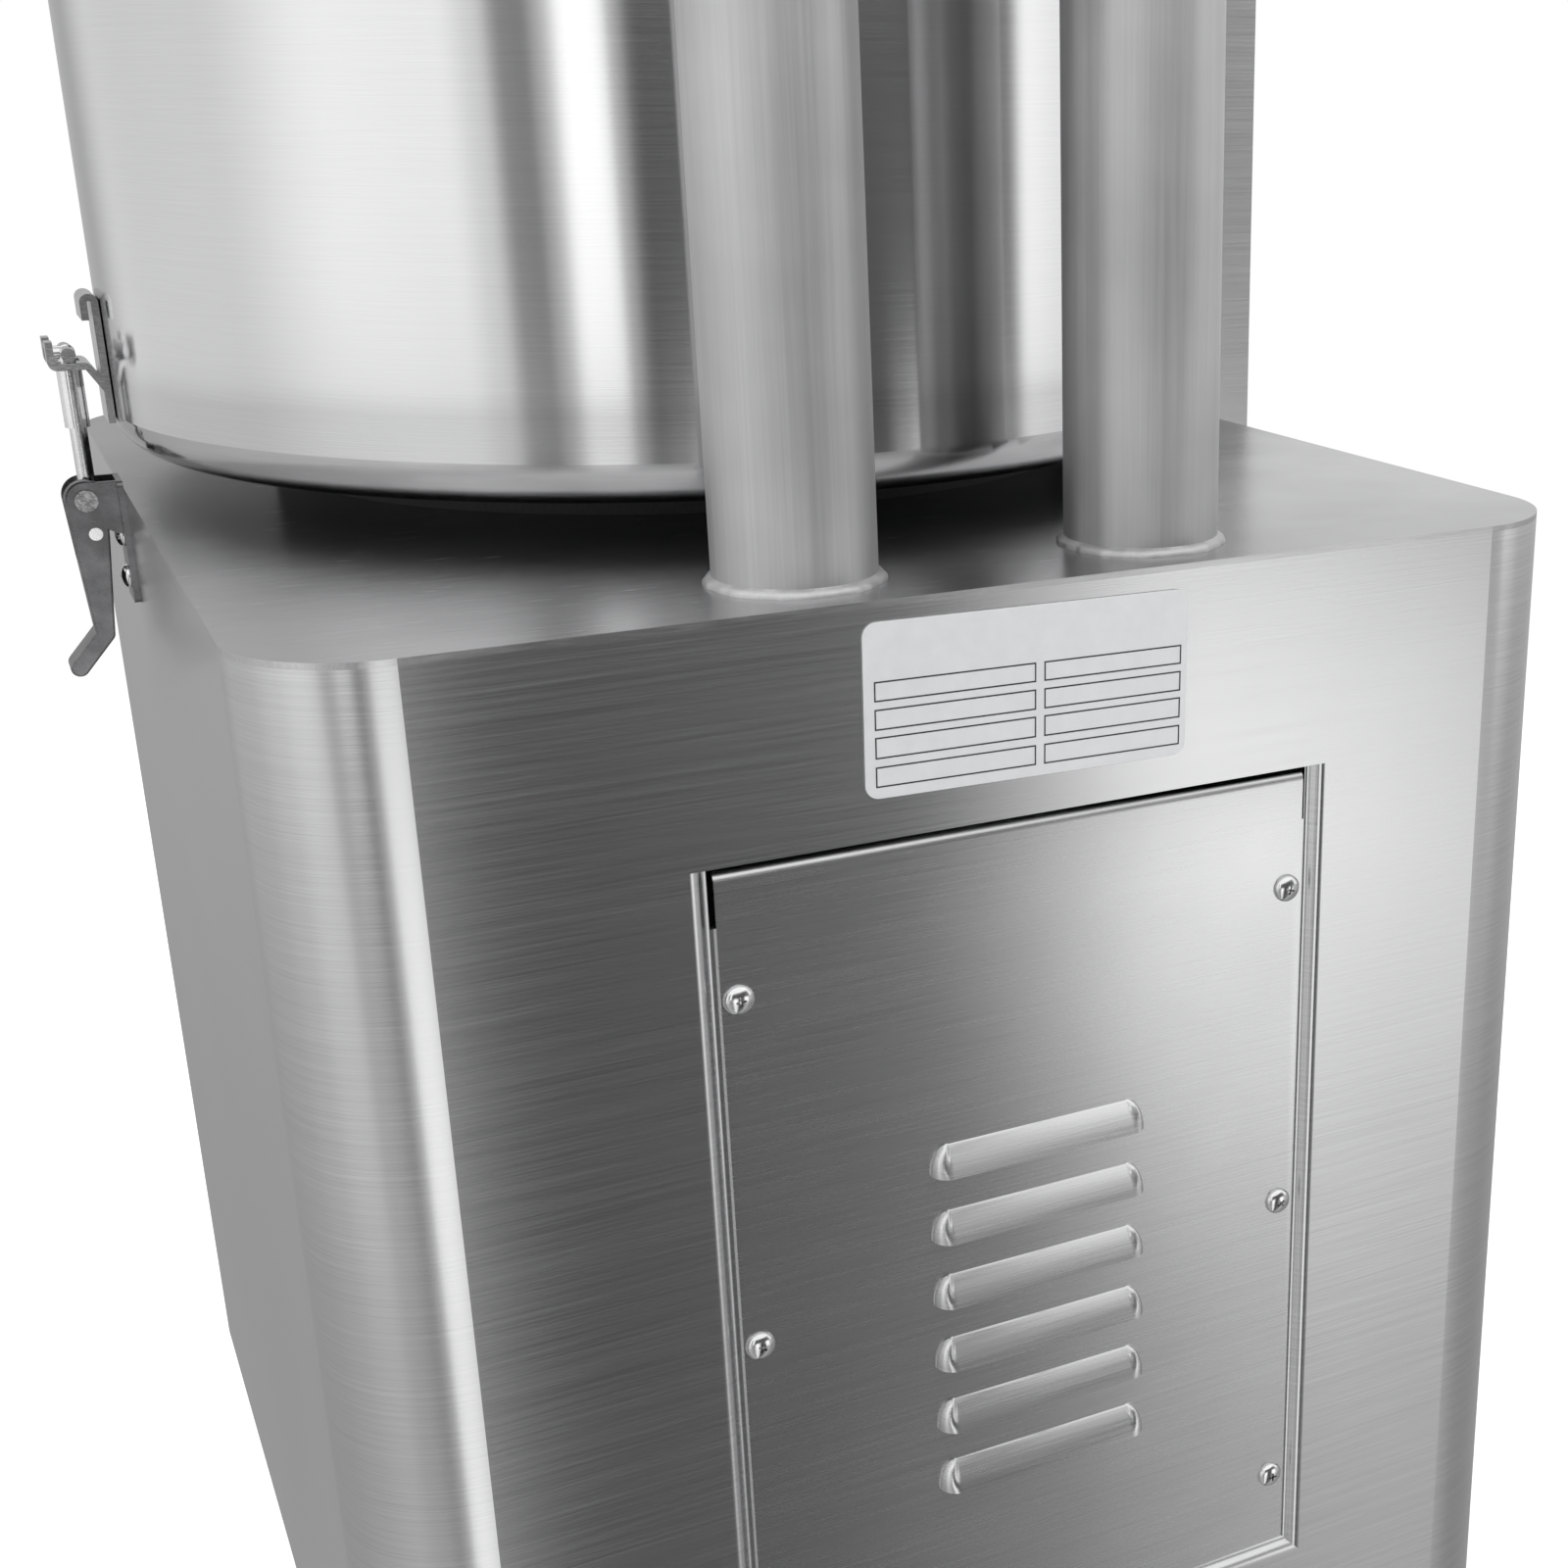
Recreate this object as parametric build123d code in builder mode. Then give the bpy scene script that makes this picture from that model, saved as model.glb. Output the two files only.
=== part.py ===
import os
from math import asin, cos, radians, sin, sqrt, tan

from build123d import *

# Floor-standing potato peeling machine, in millimetres.
# +Z is up, the operator stands at -Y, and the origin lies on the floor under the axis of the drum.

# Cabinet
cabinet_width = 442
cabinet_depth = 506
cabinet_height = 456
cabinet_corner = 40
cabinet_sheet = 1.5
top_sheet = 2
drum_forward = 55
rear_shift = -5
bottom_flange = 30
base_thickness = 3
base_gap = 0.5
vent_length = 90
vent_width = 10
vent_pitch = 30
vent_rows = 5

# Feet
foot_height = 34
foot_top_radius = 22
foot_bottom_radius = 17
foot_inset = 30
foot_bore_radius = 5
foot_edge = 3

# Rear opening and its louvred panel
panel_width = 207
panel_height = 310
panel_sheet = 1.5
panel_drop = 76
panel_gap = 1.6
panel_bend = 4
panel_flange = 12
joggle_width = 6
joggle_depth = 3.5
landing_width = 16
landing_start = 20
louvre_length = 78
louvre_height = 10
louvre_rise = 6
louvre_lean_share = 0.2
louvre_count = 6
louvre_pitch = 24.25
louvre_drop = 115.5
louvre_wall = 1.2
panel_screw_inset = 5.5
panel_screw_shares = (0.135, 0.525, 0.903)

# Pan-head screws
screw_head_radius = 4.8
screw_head_height = 2.8
screw_head_edge = 2
screw_radius = 2
screw_length = 9
screw_cross = 1
screw_cross_depth = 1.4
screw_clearance = 0.2

# Posts and lid hinge
post_radius = 25.4
post_wall = 1.5
post_spacing = 120.5
post_setback = 38
post_rise = 20
weld_size = 4
cap_rise = 5
cap_skirt = 12
cap_gap = 0.2
hinge_rise = 22
hinge_pin_radius = 6
hinge_head_radius = 10
hinge_head_length = 7
hinge_running_gap = 0.05
hinge_side_gap = 1
knuckle_radius = 11
arm_thickness = 4
arm_reach = 52
arm_edge = 8

# Drum
drum_radius = 220
drum_height = 340
drum_sheet = 2
drum_bottom_radius = 15
drum_clearance = 12
rim_bead_radius = 4
seat_width = 16
seat_radius = 165
liner_sheet = 3.5
liner_top_drop = 62
collar_radius = 27
collar_wall = 2.5
collar_height = 14

# Lid
lid_sheet = 1.5
lid_skirt = 9
lid_skirt_gap = 3
lid_edge = 2
lid_dome_radius = 160
lid_dome_rise = 26
seal_thickness = 3
seal_width = 14
rest_gap = 0.3
handle_width = 130
handle_rise = 42
handle_radius = 7
handle_bend = 18
handle_foot_radius = 13
handle_foot_height = 4

# Discharge opening, lift gate and chute
opening_width = 150
opening_height = 110
opening_rise = 14
gate_sheet = 2.5
gate_overlap = 12
gate_gap = 0.4
gate_travel = 115
guide_sheet = 2
guide_lip = 8
guide_base = 10
bow_width = 90
bow_reach = 34
bow_radius = 5
bow_bend = 12
chute_sheet = 2
chute_ledge = 12
chute_reach = 91
chute_drop = 34
chute_cheek = 58
chute_front_cheek = 30
chute_root = 80
chute_side_gap = 1

# Peeling disc and spindle
disc_lift = 24
disc_sheet = 6
disc_gap = 7
grit_thickness = 3
wave_count = 4
wave_length = 130
wave_width = 44
wave_rise = 11
wave_ring_radius = 118
wave_taper = 40
hub_radius = 34
hub_depth = 12
wiper_length = 130
wiper_width = 8
wiper_gap = 3
wiper_inset = 45
disc_nut_radius = 30
disc_nut_height = 26
disc_nut_edge = 9
shaft_radius = 12.5
shaft_tail = 12
shaft_tip = 14
shaft_chamfer = 1
running_gap = 0.05
seal_lip = 6

# Drive plate, bearing housing and bearings
drive_drop = 46
drive_thickness = 6
drive_flange = 30
drive_front = 100
drive_edge_gap = 0.5
housing_flange_radius = 62
housing_flange = 10
housing_radius = 38
housing_height = 100
housing_rib_sheet = 6
bearing_radius = 26
bearing_width = 15
bearing_race = 4
bearing_shield = 1
shaft_window_radius = 19
housing_bolt_radius = 50

# Motor, pulleys and belt
belt_spacing = 190
large_pitch_radius = 100
small_pitch_radius = 25
belt_height = 8
belt_width = 13
belt_taper = 19
groove_gap = 0.6
groove_depth = 3
pulley_face = 20
pulley_web = 8
pulley_rim = 9
pulley_hub_radius = 24
pulley_lift = 9
pulley_hole_ring_radius = 54
pulley_hole_radius = 16
pulley_hole_count = 5
motor_radius = 68
motor_height = 200
motor_flange_radius = 80
motor_flange = 9
motor_fins = 20
fin_height = 5
fin_width = 3
motor_shaft_radius = 9.5
motor_shaft_depth = 60
motor_bolt_radius = 68
motor_slot_length = 20
motor_window_width = 34
terminal_width = 70
terminal_height = 80
terminal_depth = 34
motor_neck = 4
fin_margin = 6
fan_cover_lap = 8
fan_cover_height = 44
fan_cover_radius = 70
fan_cover_edge = 10
fan_slot_count = 8
fan_slot_radius = 42
fan_slot_width = 7
fan_slot_length = 34

# Hex bolts of the drive
bolt_radius = 4
bolt_head_radius = 7.5
bolt_head_height = 5.3
bolt_length = 14
bolt_clearance = 0.4

# Side latches
latch_width = 22
latch_height = 46
latch_sheet = 2
ear_sheet = 1.5
ear_radius = 6.5
ear_gap = 14
pivot_out = 13
pivot_drop = 4
link_out = 11.4
link_drop = 17
lever_width = 13
lever_wall = 1.5
lever_eye_radius = 7.5
lever_neck_radius = 3.3
lever_bend_out = 13.4
lever_bend_drop = 55
lever_tip_out = 24
lever_tip_drop = 67
lever_window_drop = 26
pivot_radius = 2.5
pivot_head_radius = 4
pivot_head = 1
rod_radius = 3
rod_eye_radius = 5
rod_eye_width = 7
trunnion_radius = 2.4
sleeve_radius = 4.3
sleeve_start = 22
sleeve_end = 43
tee_radius = 2.5
tee_length = 22
tee_rise = 49
tee_nose = 7
catch_sheet = 2.5
catch_width = 24
catch_foot_rise = 24
catch_branch_rise = 36
catch_top_rise = 69
catch_curl_out = 5
catch_curl_drop = 8
catch_bend = 1.8
catch_trough_in = 5.6
catch_tip_past = 6
catch_tip_rise = 54
fork_width = 9.4
fork_past = 3.9
latch_screw_drops = (19, 35)

# Control box on the right-hand side wall
box_depth = 82
box_length = 130
box_height = 300
box_sheet = 1.5
box_corner = 6
box_below_top = 84
box_front = 175
cover_sheet = 2
cover_screw_inset = 9
button_radius = 11
button_rise = 7
button_gap = 0.3
bezel_radius = 15
bezel_height = 3
switch_radius = 14
switch_depth = 45
start_drop = 60
stop_drop = 112
stop_cap_radius = 18
stop_cap_height = 12
stop_travel = 5
start_travel = 4
button_edge = 1.5
knob_drop = 190
knob_radius = 22
knob_height = 17
knob_grip = 9
knob_shaft_radius = 3
knob_gap = 1
neck_wall = 1.5
timer_radius = 26
timer_depth = 38

# Cable gland, waste pipe and water inlet
gland_rise = 66
gland_back = 225
gland_nut_radius = 14
gland_nut_length = 7
gland_dome_radius = 11
gland_dome_length = 15
gland_bore_radius = 5
gland_tail = 12
gland_thread_radius = 9.8
gland_edge = 4
waste_radius = 25
waste_wall = 2.5
waste_x = 130
waste_y = 95
waste_bend = 55
waste_rise = 92
waste_reach = 42
waste_collar_width = 4
waste_collar_height = 4
waste_flange_width = 7
waste_flange_height = 3
inlet_drop = 30
inlet_radius = 10.5
inlet_bore_radius = 7
inlet_reach = 82
inlet_nose = 26
inlet_hex_radius = 15
inlet_hex_length = 8
valve_body_radius = 15
valve_body_length = 30
valve_start = 22
valve_neck_radius = 8
valve_neck_rise = 22
valve_lever_length = 62
valve_lever_width = 14
valve_lever_sheet = 3
valve_lever_gap = 0.3
valve_stem_radius = 3
valve_plug = 2
cut = 2

# Places that several pieces share
cabinet_y = drum_forward
rear_wall_y = cabinet_y + cabinet_depth / 2
front_wall_y = cabinet_y - cabinet_depth / 2
side_wall_x = cabinet_width / 2
cabinet_top_z = foot_height + cabinet_height
shell_top_z = cabinet_top_z - top_sheet
drum_z = cabinet_top_z + drum_clearance
drum_floor_z = drum_z + drum_sheet
drum_top_z = drum_z + drum_height
drum_inner_radius = drum_radius - drum_sheet
liner_inner_radius = drum_inner_radius - liner_sheet
disc_z = drum_floor_z + disc_lift
disc_top_z = disc_z + disc_sheet
grit_top_z = disc_top_z + grit_thickness
opening_z = grit_top_z + opening_rise
opening_top_z = opening_z + opening_height
panel_top_z = cabinet_top_z - panel_drop
panel_bottom_z = panel_top_z - panel_height
landing_y = rear_wall_y - joggle_depth
panel_face_y = landing_y + panel_sheet
hole_half = panel_width / 2 + panel_gap + joggle_width
hole_top_z = panel_top_z + panel_gap
hole_bottom_z = panel_bottom_z - panel_gap - joggle_width
screw_x = panel_width / 2 - panel_screw_inset
panel_screw_places = [panel_top_z - share * panel_height for share in panel_screw_shares]
drive_z = cabinet_top_z - drive_drop
drive_under_z = drive_z - drive_thickness
housing_z = drive_under_z - housing_height
pulley_z = drive_z + pulley_lift
belt_z = pulley_z + pulley_face / 2
post_y = rear_wall_y - post_setback
lid_rest_z = drum_top_z + seal_thickness + rest_gap
lid_top_z = lid_rest_z + lid_sheet
hinge_z = lid_top_z + knuckle_radius
post_top_z = hinge_z + post_rise

os.makedirs("parts", exist_ok=True)


# Cabinet shell: four bent walls with round corners, a turned-in bottom flange and the rear opening.
with BuildPart() as opening_side_lip:
    with BuildSketch(Plane.XY.offset(hole_bottom_z)):
        with BuildLine() as side_bend:
            sheet_middle_y = rear_wall_y - cabinet_sheet / 2
            bend_start = (hole_half, sheet_middle_y)
            bend_middle = (hole_half - joggle_width / 2, sheet_middle_y - joggle_depth / 2)
            bend_end = (hole_half - joggle_width, sheet_middle_y - joggle_depth)
            first_bend = TangentArc(bend_start, bend_middle, tangent=(-1, 0))
            TangentArc(bend_middle, bend_end, tangent=first_bend % 1)
            Line(bend_end, (bend_end[0] - landing_width, bend_end[1]))
        trace(side_bend.line, line_width=cabinet_sheet)
    extrude(amount=hole_top_z - hole_bottom_z)
    with BuildSketch(Plane.XY.offset(hole_top_z - landing_start)):
        with Locations((bend_end[0], bend_end[1])):
            Rectangle(
                landing_width + panel_gap,
                cabinet_sheet + panel_gap,
                align=(Align.MAX, Align.CENTER),
            )
    extrude(amount=landing_start, mode=Mode.SUBTRACT)
    with Locations(*[(screw_x, landing_y, screw_z) for screw_z in panel_screw_places]):
        Cylinder(screw_radius + screw_clearance, landing_width, rotation=(90, 0, 0), mode=Mode.SUBTRACT)

with BuildPart() as opening_bottom_lip:
    with BuildSketch(Plane.YZ.offset(-hole_half)):
        with BuildLine() as bottom_bend:
            low_start = (sheet_middle_y, hole_bottom_z)
            low_middle = (sheet_middle_y - joggle_depth / 2, hole_bottom_z + joggle_width / 2)
            low_end = (sheet_middle_y - joggle_depth, hole_bottom_z + joggle_width)
            low_bend = TangentArc(low_start, low_middle, tangent=(0, 1))
            TangentArc(low_middle, low_end, tangent=low_bend % 1)
            Line(low_end, (low_end[0], low_end[1] + landing_width))
        trace(bottom_bend.line, line_width=cabinet_sheet)
    extrude(amount=2 * hole_half)
opening_other_lip = mirror(opening_side_lip.part, about=Plane.YZ)

with BuildPart() as cabinet_shell:
    with BuildSketch(Plane.XY.offset(foot_height)):
        with Locations((0, cabinet_y)):
            RectangleRounded(cabinet_width, cabinet_depth, cabinet_corner)
            RectangleRounded(
                cabinet_width - 2 * cabinet_sheet,
                cabinet_depth - 2 * cabinet_sheet,
                cabinet_corner - cabinet_sheet,
                mode=Mode.SUBTRACT,
            )
    extrude(amount=shell_top_z - foot_height)
    with BuildSketch(Plane.XY.offset(foot_height)):
        with Locations((0, cabinet_y)):
            RectangleRounded(cabinet_width, cabinet_depth, cabinet_corner)
            Rectangle(
                cabinet_width - 2 * bottom_flange,
                cabinet_depth - 2 * bottom_flange,
                mode=Mode.SUBTRACT,
            )
    extrude(amount=cabinet_sheet)
    with BuildSketch(Plane.XZ.offset(-rear_wall_y)):
        with Locations((rear_shift, (hole_bottom_z + hole_top_z) / 2)):
            Rectangle(2 * hole_half, hole_top_z - hole_bottom_z)
    extrude(amount=cabinet_sheet, mode=Mode.SUBTRACT)
    add(Pos(rear_shift, 0, 0) * opening_side_lip.part)
    add(Pos(rear_shift, 0, 0) * opening_other_lip)
    add(Pos(rear_shift, 0, 0) * opening_bottom_lip.part)
    with Locations((-side_wall_x, gland_back, foot_height + gland_rise)):
        Cylinder(gland_thread_radius, 4 * cabinet_sheet, rotation=(0, 90, 0), mode=Mode.SUBTRACT)
    with Locations((-side_wall_x, waste_y, waste_rise)):
        Cylinder(waste_radius, 4 * cabinet_sheet, rotation=(0, 90, 0), mode=Mode.SUBTRACT)
    for drop in latch_screw_drops:
        with Locations((0, 0, cabinet_top_z - drop)):
            Cylinder(
                screw_radius + screw_clearance,
                cabinet_width + cut,
                rotation=(0, 90, 0),
                mode=Mode.SUBTRACT,
            )
cabinet_shell.part.label = "cabinet_shell"
export_step(cabinet_shell.part, "parts/cabinet_shell.step")


# Cabinet top: a flat plate on the walls, with holes for the spindle collar and the waste pipe.
with BuildPart() as cabinet_top:
    with BuildSketch(Plane.XY.offset(shell_top_z)):
        with Locations((0, cabinet_y)):
            RectangleRounded(cabinet_width, cabinet_depth, cabinet_corner)
        Circle(collar_radius + collar_wall, mode=Mode.SUBTRACT)
        with Locations((-waste_x, waste_y)):
            Circle(waste_radius, mode=Mode.SUBTRACT)
    extrude(amount=top_sheet)
cabinet_top.part.label = "cabinet_top"
export_step(cabinet_top.part, "parts/cabinet_top.step")


# Base plate: lies inside the walls on the bottom flange, with two columns of vent slots.
base_z = foot_height + cabinet_sheet
with BuildPart() as base_plate:
    with BuildSketch(Plane.XY.offset(base_z)):
        with Locations((0, cabinet_y)):
            RectangleRounded(
                cabinet_width - 2 * (cabinet_sheet + base_gap),
                cabinet_depth - 2 * (cabinet_sheet + base_gap),
                cabinet_corner - cabinet_sheet - base_gap,
            )
            with GridLocations(vent_length + vent_pitch, vent_pitch, 2, vent_rows):
                SlotOverall(vent_length, vent_width, mode=Mode.SUBTRACT)
    extrude(amount=base_thickness)
base_plate.part.label = "base_plate"
export_step(base_plate.part, "parts/base_plate.step")


# Four rubber feet under the corners of the bottom flange.
foot_x = side_wall_x - foot_inset
foot_y = cabinet_depth / 2 - foot_inset
foot_places = {
    "front_left": (foot_x, cabinet_y - foot_y),
    "front_right": (-foot_x, cabinet_y - foot_y),
    "rear_left": (foot_x, cabinet_y + foot_y),
    "rear_right": (-foot_x, cabinet_y + foot_y),
}
for corner, (x, y) in foot_places.items():
    with BuildPart() as foot:
        with BuildSketch(Plane.XZ.offset(-y)):
            with BuildLine():
                Polyline(
                    (x + foot_bore_radius, 0),
                    (x + foot_bottom_radius, 0),
                    (x + foot_top_radius, foot_height),
                    (x + foot_bore_radius, foot_height),
                    close=True,
                )
            make_face()
        revolve(axis=Axis((x, y, 0), (0, 0, 1)))
        floor_edges = foot.edges().filter_by(GeomType.CIRCLE).group_by(Axis.Z)[0]
        fillet(floor_edges.sort_by(SortBy.RADIUS)[-1], foot_edge)
    foot.part.label = f"foot_{corner}"
    export_step(foot.part, f"parts/foot_{corner}.step")


# Rear access panel: its top edge is bent inwards under the opening, and six louvres are pressed out.
# A louvre leans out from its top edge to an open lower lip, and its ends are rounded shut.
louvre_straight = louvre_length - 2 * louvre_rise
hollow_rise = louvre_rise - louvre_wall
hollow_height = louvre_height - 2 * louvre_wall
panel_back_y = panel_face_y - panel_sheet


def louvre_section(rise, height, back_y):
    with BuildSketch(Plane.YZ) as profile:
        with BuildLine():
            Polyline(
                (panel_face_y, height),
                (back_y, height),
                (back_y, 0),
                (panel_face_y + rise, 0),
            )
            TangentArc(
                (panel_face_y + rise, 0),
                (panel_face_y, height),
                tangent=(-louvre_lean_share, 1),
            )
        make_face()
    return profile.sketch


def louvre_end(rise, height, turn):
    end_x = turn * louvre_straight / 2
    with BuildPart() as end_cap:
        with BuildSketch(Plane.YZ.offset(end_x)):
            with BuildLine():
                Polyline(
                    (panel_face_y + rise, 0),
                    (panel_face_y, 0),
                    (panel_face_y, height),
                )
                TangentArc(
                    (panel_face_y + rise, 0),
                    (panel_face_y, height),
                    tangent=(-louvre_lean_share, 1),
                )
            make_face()
        revolve(axis=Axis((end_x, panel_face_y, 0), (0, 0, -turn)), revolution_arc=90)
    return end_cap.part


with BuildPart() as louvre_hump:
    hump_profile = louvre_section(louvre_rise, louvre_height, panel_face_y - panel_sheet / 2)
    extrude(hump_profile, amount=louvre_straight / 2, both=True)
    add(louvre_end(louvre_rise, louvre_height, 1))
    add(louvre_end(louvre_rise, louvre_height, -1))
with BuildPart() as louvre_hollow:
    hollow_profile = louvre_section(hollow_rise, hollow_height, panel_back_y - cut)
    extrude(hollow_profile, amount=louvre_straight / 2, both=True)
    add(louvre_end(hollow_rise, hollow_height, 1))
    add(louvre_end(hollow_rise, hollow_height, -1))

with BuildPart() as access_panel:
    with BuildSketch(Plane.YZ.offset(rear_shift - panel_width / 2)):
        with BuildLine() as panel_bent:
            panel_middle_y = panel_face_y - panel_sheet / 2
            bend_inner = panel_bend - panel_sheet / 2
            panel_line_top = panel_top_z - panel_sheet / 2
            Line((panel_middle_y, panel_bottom_z), (panel_middle_y, panel_line_top - bend_inner))
            TangentArc(
                (panel_middle_y, panel_line_top - bend_inner),
                (panel_middle_y - bend_inner, panel_line_top),
                tangent=(0, 1),
            )
            Line(
                (panel_middle_y - bend_inner, panel_line_top),
                (panel_middle_y - bend_inner - panel_flange, panel_line_top),
            )
        trace(panel_bent.line, line_width=panel_sheet)
    extrude(amount=panel_width)
    for screw_z in panel_screw_places:
        with Locations(*[(rear_shift + side * screw_x, panel_face_y, screw_z) for side in (1, -1)]):
            Cylinder(
                screw_radius + screw_clearance,
                4 * panel_sheet,
                rotation=(90, 0, 0),
                mode=Mode.SUBTRACT,
            )
    for row in range(louvre_count):
        louvre_z = panel_top_z - louvre_drop - row * louvre_pitch
        add(Pos(rear_shift, 0, louvre_z) * louvre_hump.part)
        add(Pos(rear_shift, 0, louvre_z) * louvre_hollow.part, mode=Mode.SUBTRACT)
access_panel.part.label = "access_panel"
export_step(access_panel.part, "parts/access_panel.step")


# One pan-head screw with a cross recess, its head seated at the origin and its shank along -Z.
with BuildPart() as pan_screw:
    Cylinder(screw_head_radius, screw_head_height, align=(Align.CENTER, Align.CENTER, Align.MIN))
    fillet(pan_screw.edges().group_by(Axis.Z)[-1], screw_head_edge)
    Cylinder(screw_radius, screw_length, align=(Align.CENTER, Align.CENTER, Align.MAX))
    with Locations((0, 0, screw_head_height)):
        Box(screw_head_radius, screw_cross, 2 * screw_cross_depth, mode=Mode.SUBTRACT)
        Box(screw_cross, screw_head_radius, 2 * screw_cross_depth, mode=Mode.SUBTRACT)


# Two round posts welded upright on the cabinet top; the lid's hinge pin crosses them.
post_places = {"left": rear_shift + post_spacing / 2, "right": rear_shift - post_spacing / 2}
for side, x in post_places.items():
    with BuildPart() as post:
        with BuildSketch(Plane.XY.offset(cabinet_top_z)):
            with Locations((x, post_y)):
                Circle(post_radius)
                Circle(post_radius - post_wall, mode=Mode.SUBTRACT)
        extrude(amount=post_top_z - cabinet_top_z)
        with BuildSketch(Plane.XZ.offset(-post_y)):
            with BuildLine():
                weld_foot = (x + post_radius + weld_size, cabinet_top_z)
                weld_head = (x + post_radius, cabinet_top_z + weld_size)
                Line((x + post_radius, cabinet_top_z), weld_foot)
                RadiusArc(weld_foot, weld_head, -weld_size)
                Line(weld_head, (x + post_radius, cabinet_top_z))
            make_face()
        revolve(axis=Axis((x, post_y, 0), (0, 0, 1)))
        with Locations((x, post_y, hinge_z)):
            Cylinder(
                hinge_pin_radius + hinge_running_gap,
                4 * post_radius,
                rotation=(0, 90, 0),
                mode=Mode.SUBTRACT,
            )
    post.part.label = f"post_{side}"
    export_step(post.part, f"parts/post_{side}.step")


# Domed plugs that close the tops of the posts.
with BuildPart() as post_caps:
    for x in post_places.values():
        with BuildSketch(Plane.XZ.offset(-post_y)):
            with BuildLine():
                cap_bore = post_radius - post_wall - cap_gap
                Polyline(
                    (x, post_top_z + cap_rise),
                    (x, post_top_z - cap_skirt),
                    (x + cap_bore, post_top_z - cap_skirt),
                    (x + cap_bore, post_top_z),
                    (x + post_radius, post_top_z),
                )
                TangentArc((x, post_top_z + cap_rise), (x + post_radius, post_top_z), tangent=(1, 0))
            make_face()
        revolve(axis=Axis((x, post_y, 0), (0, 0, 1)))
post_caps.part.label = "post_caps"
export_step(post_caps.part, "parts/post_caps.step")


# Hinge pin with a hexagon head on each end.
pin_half = post_spacing / 2 + post_radius
with BuildPart() as hinge_pin:
    with Locations((rear_shift, post_y, hinge_z)):
        Cylinder(hinge_pin_radius, 2 * (pin_half + hinge_head_length / 2), rotation=(0, 90, 0))
    with BuildSketch(Plane.YZ.offset(rear_shift + pin_half)):
        with Locations((post_y, hinge_z)):
            RegularPolygon(hinge_head_radius, 6)
    extrude(amount=hinge_head_length)
    with BuildSketch(Plane.YZ.offset(rear_shift - pin_half)):
        with Locations((post_y, hinge_z)):
            RegularPolygon(hinge_head_radius, 6)
    extrude(amount=-hinge_head_length)
hinge_pin.part.label = "hinge_pin"
export_step(hinge_pin.part, "parts/hinge_pin.step")


# Drum: a spun pot with a round bottom edge, a rolled rim and the discharge opening in front.
with BuildPart() as drum_shell:
    with Locations((0, 0, drum_z)):
        Cylinder(drum_radius, drum_height, align=(Align.CENTER, Align.CENTER, Align.MIN))
    fillet(drum_shell.edges().group_by(Axis.Z)[0], drum_bottom_radius)
    offset(amount=-drum_sheet, openings=drum_shell.faces().sort_by(Axis.Z)[-1])
    with Locations((0, 0, drum_top_z - rim_bead_radius)):
        Torus(drum_radius, rim_bead_radius)
    with BuildSketch(Plane.XZ.offset(drum_inner_radius / 2)):
        with Locations((0, opening_z + opening_height / 2)):
            RectangleRounded(opening_width, opening_height, guide_lip)
    extrude(amount=drum_radius, mode=Mode.SUBTRACT)
    with Locations((0, 0, drum_z + drum_sheet / 2)):
        Cylinder(collar_radius, 2 * drum_sheet, mode=Mode.SUBTRACT)
    with Locations((-waste_x, waste_y, drum_z + drum_sheet / 2)):
        Cylinder(waste_radius - waste_wall, 2 * drum_sheet, mode=Mode.SUBTRACT)
    with Locations((drum_radius, 0, drum_top_z - inlet_drop)):
        Cylinder(inlet_radius, 4 * drum_sheet, rotation=(0, 90, 0), mode=Mode.SUBTRACT)
    with BuildSketch(Plane.XY.offset(cabinet_top_z)):
        Circle(collar_radius + collar_wall)
        Circle(collar_radius, mode=Mode.SUBTRACT)
    extrude(amount=drum_clearance + drum_sheet + collar_height)
drum_shell.part.label = "drum_shell"
export_step(drum_shell.part, "parts/drum_shell.step")


# Abrasive liner: a ring against the drum wall with the same opening.
liner_z = disc_z
with BuildPart() as abrasive_liner:
    with BuildSketch(Plane.XY.offset(liner_z)):
        Circle(drum_inner_radius)
        Circle(liner_inner_radius, mode=Mode.SUBTRACT)
    extrude(amount=drum_top_z - liner_top_drop - liner_z)
    with BuildSketch(Plane.XZ.offset(drum_inner_radius / 2)):
        with Locations((0, opening_z + opening_height / 2)):
            RectangleRounded(opening_width, opening_height, guide_lip)
    extrude(amount=drum_radius, mode=Mode.SUBTRACT)
abrasive_liner.part.label = "abrasive_liner"
export_step(abrasive_liner.part, "parts/abrasive_liner.step")


# Rubber ring between the drum's underside and the cabinet top.
with BuildPart() as seat_ring:
    with BuildSketch(Plane.XY.offset(cabinet_top_z)):
        Circle(seat_radius)
        Circle(seat_radius - seat_width, mode=Mode.SUBTRACT)
        with Locations((-waste_x, waste_y)):
            Circle(waste_radius + waste_flange_width, mode=Mode.SUBTRACT)
    extrude(amount=drum_clearance)
seat_ring.part.label = "seat_ring"
export_step(seat_ring.part, "parts/seat_ring.step")


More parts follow.
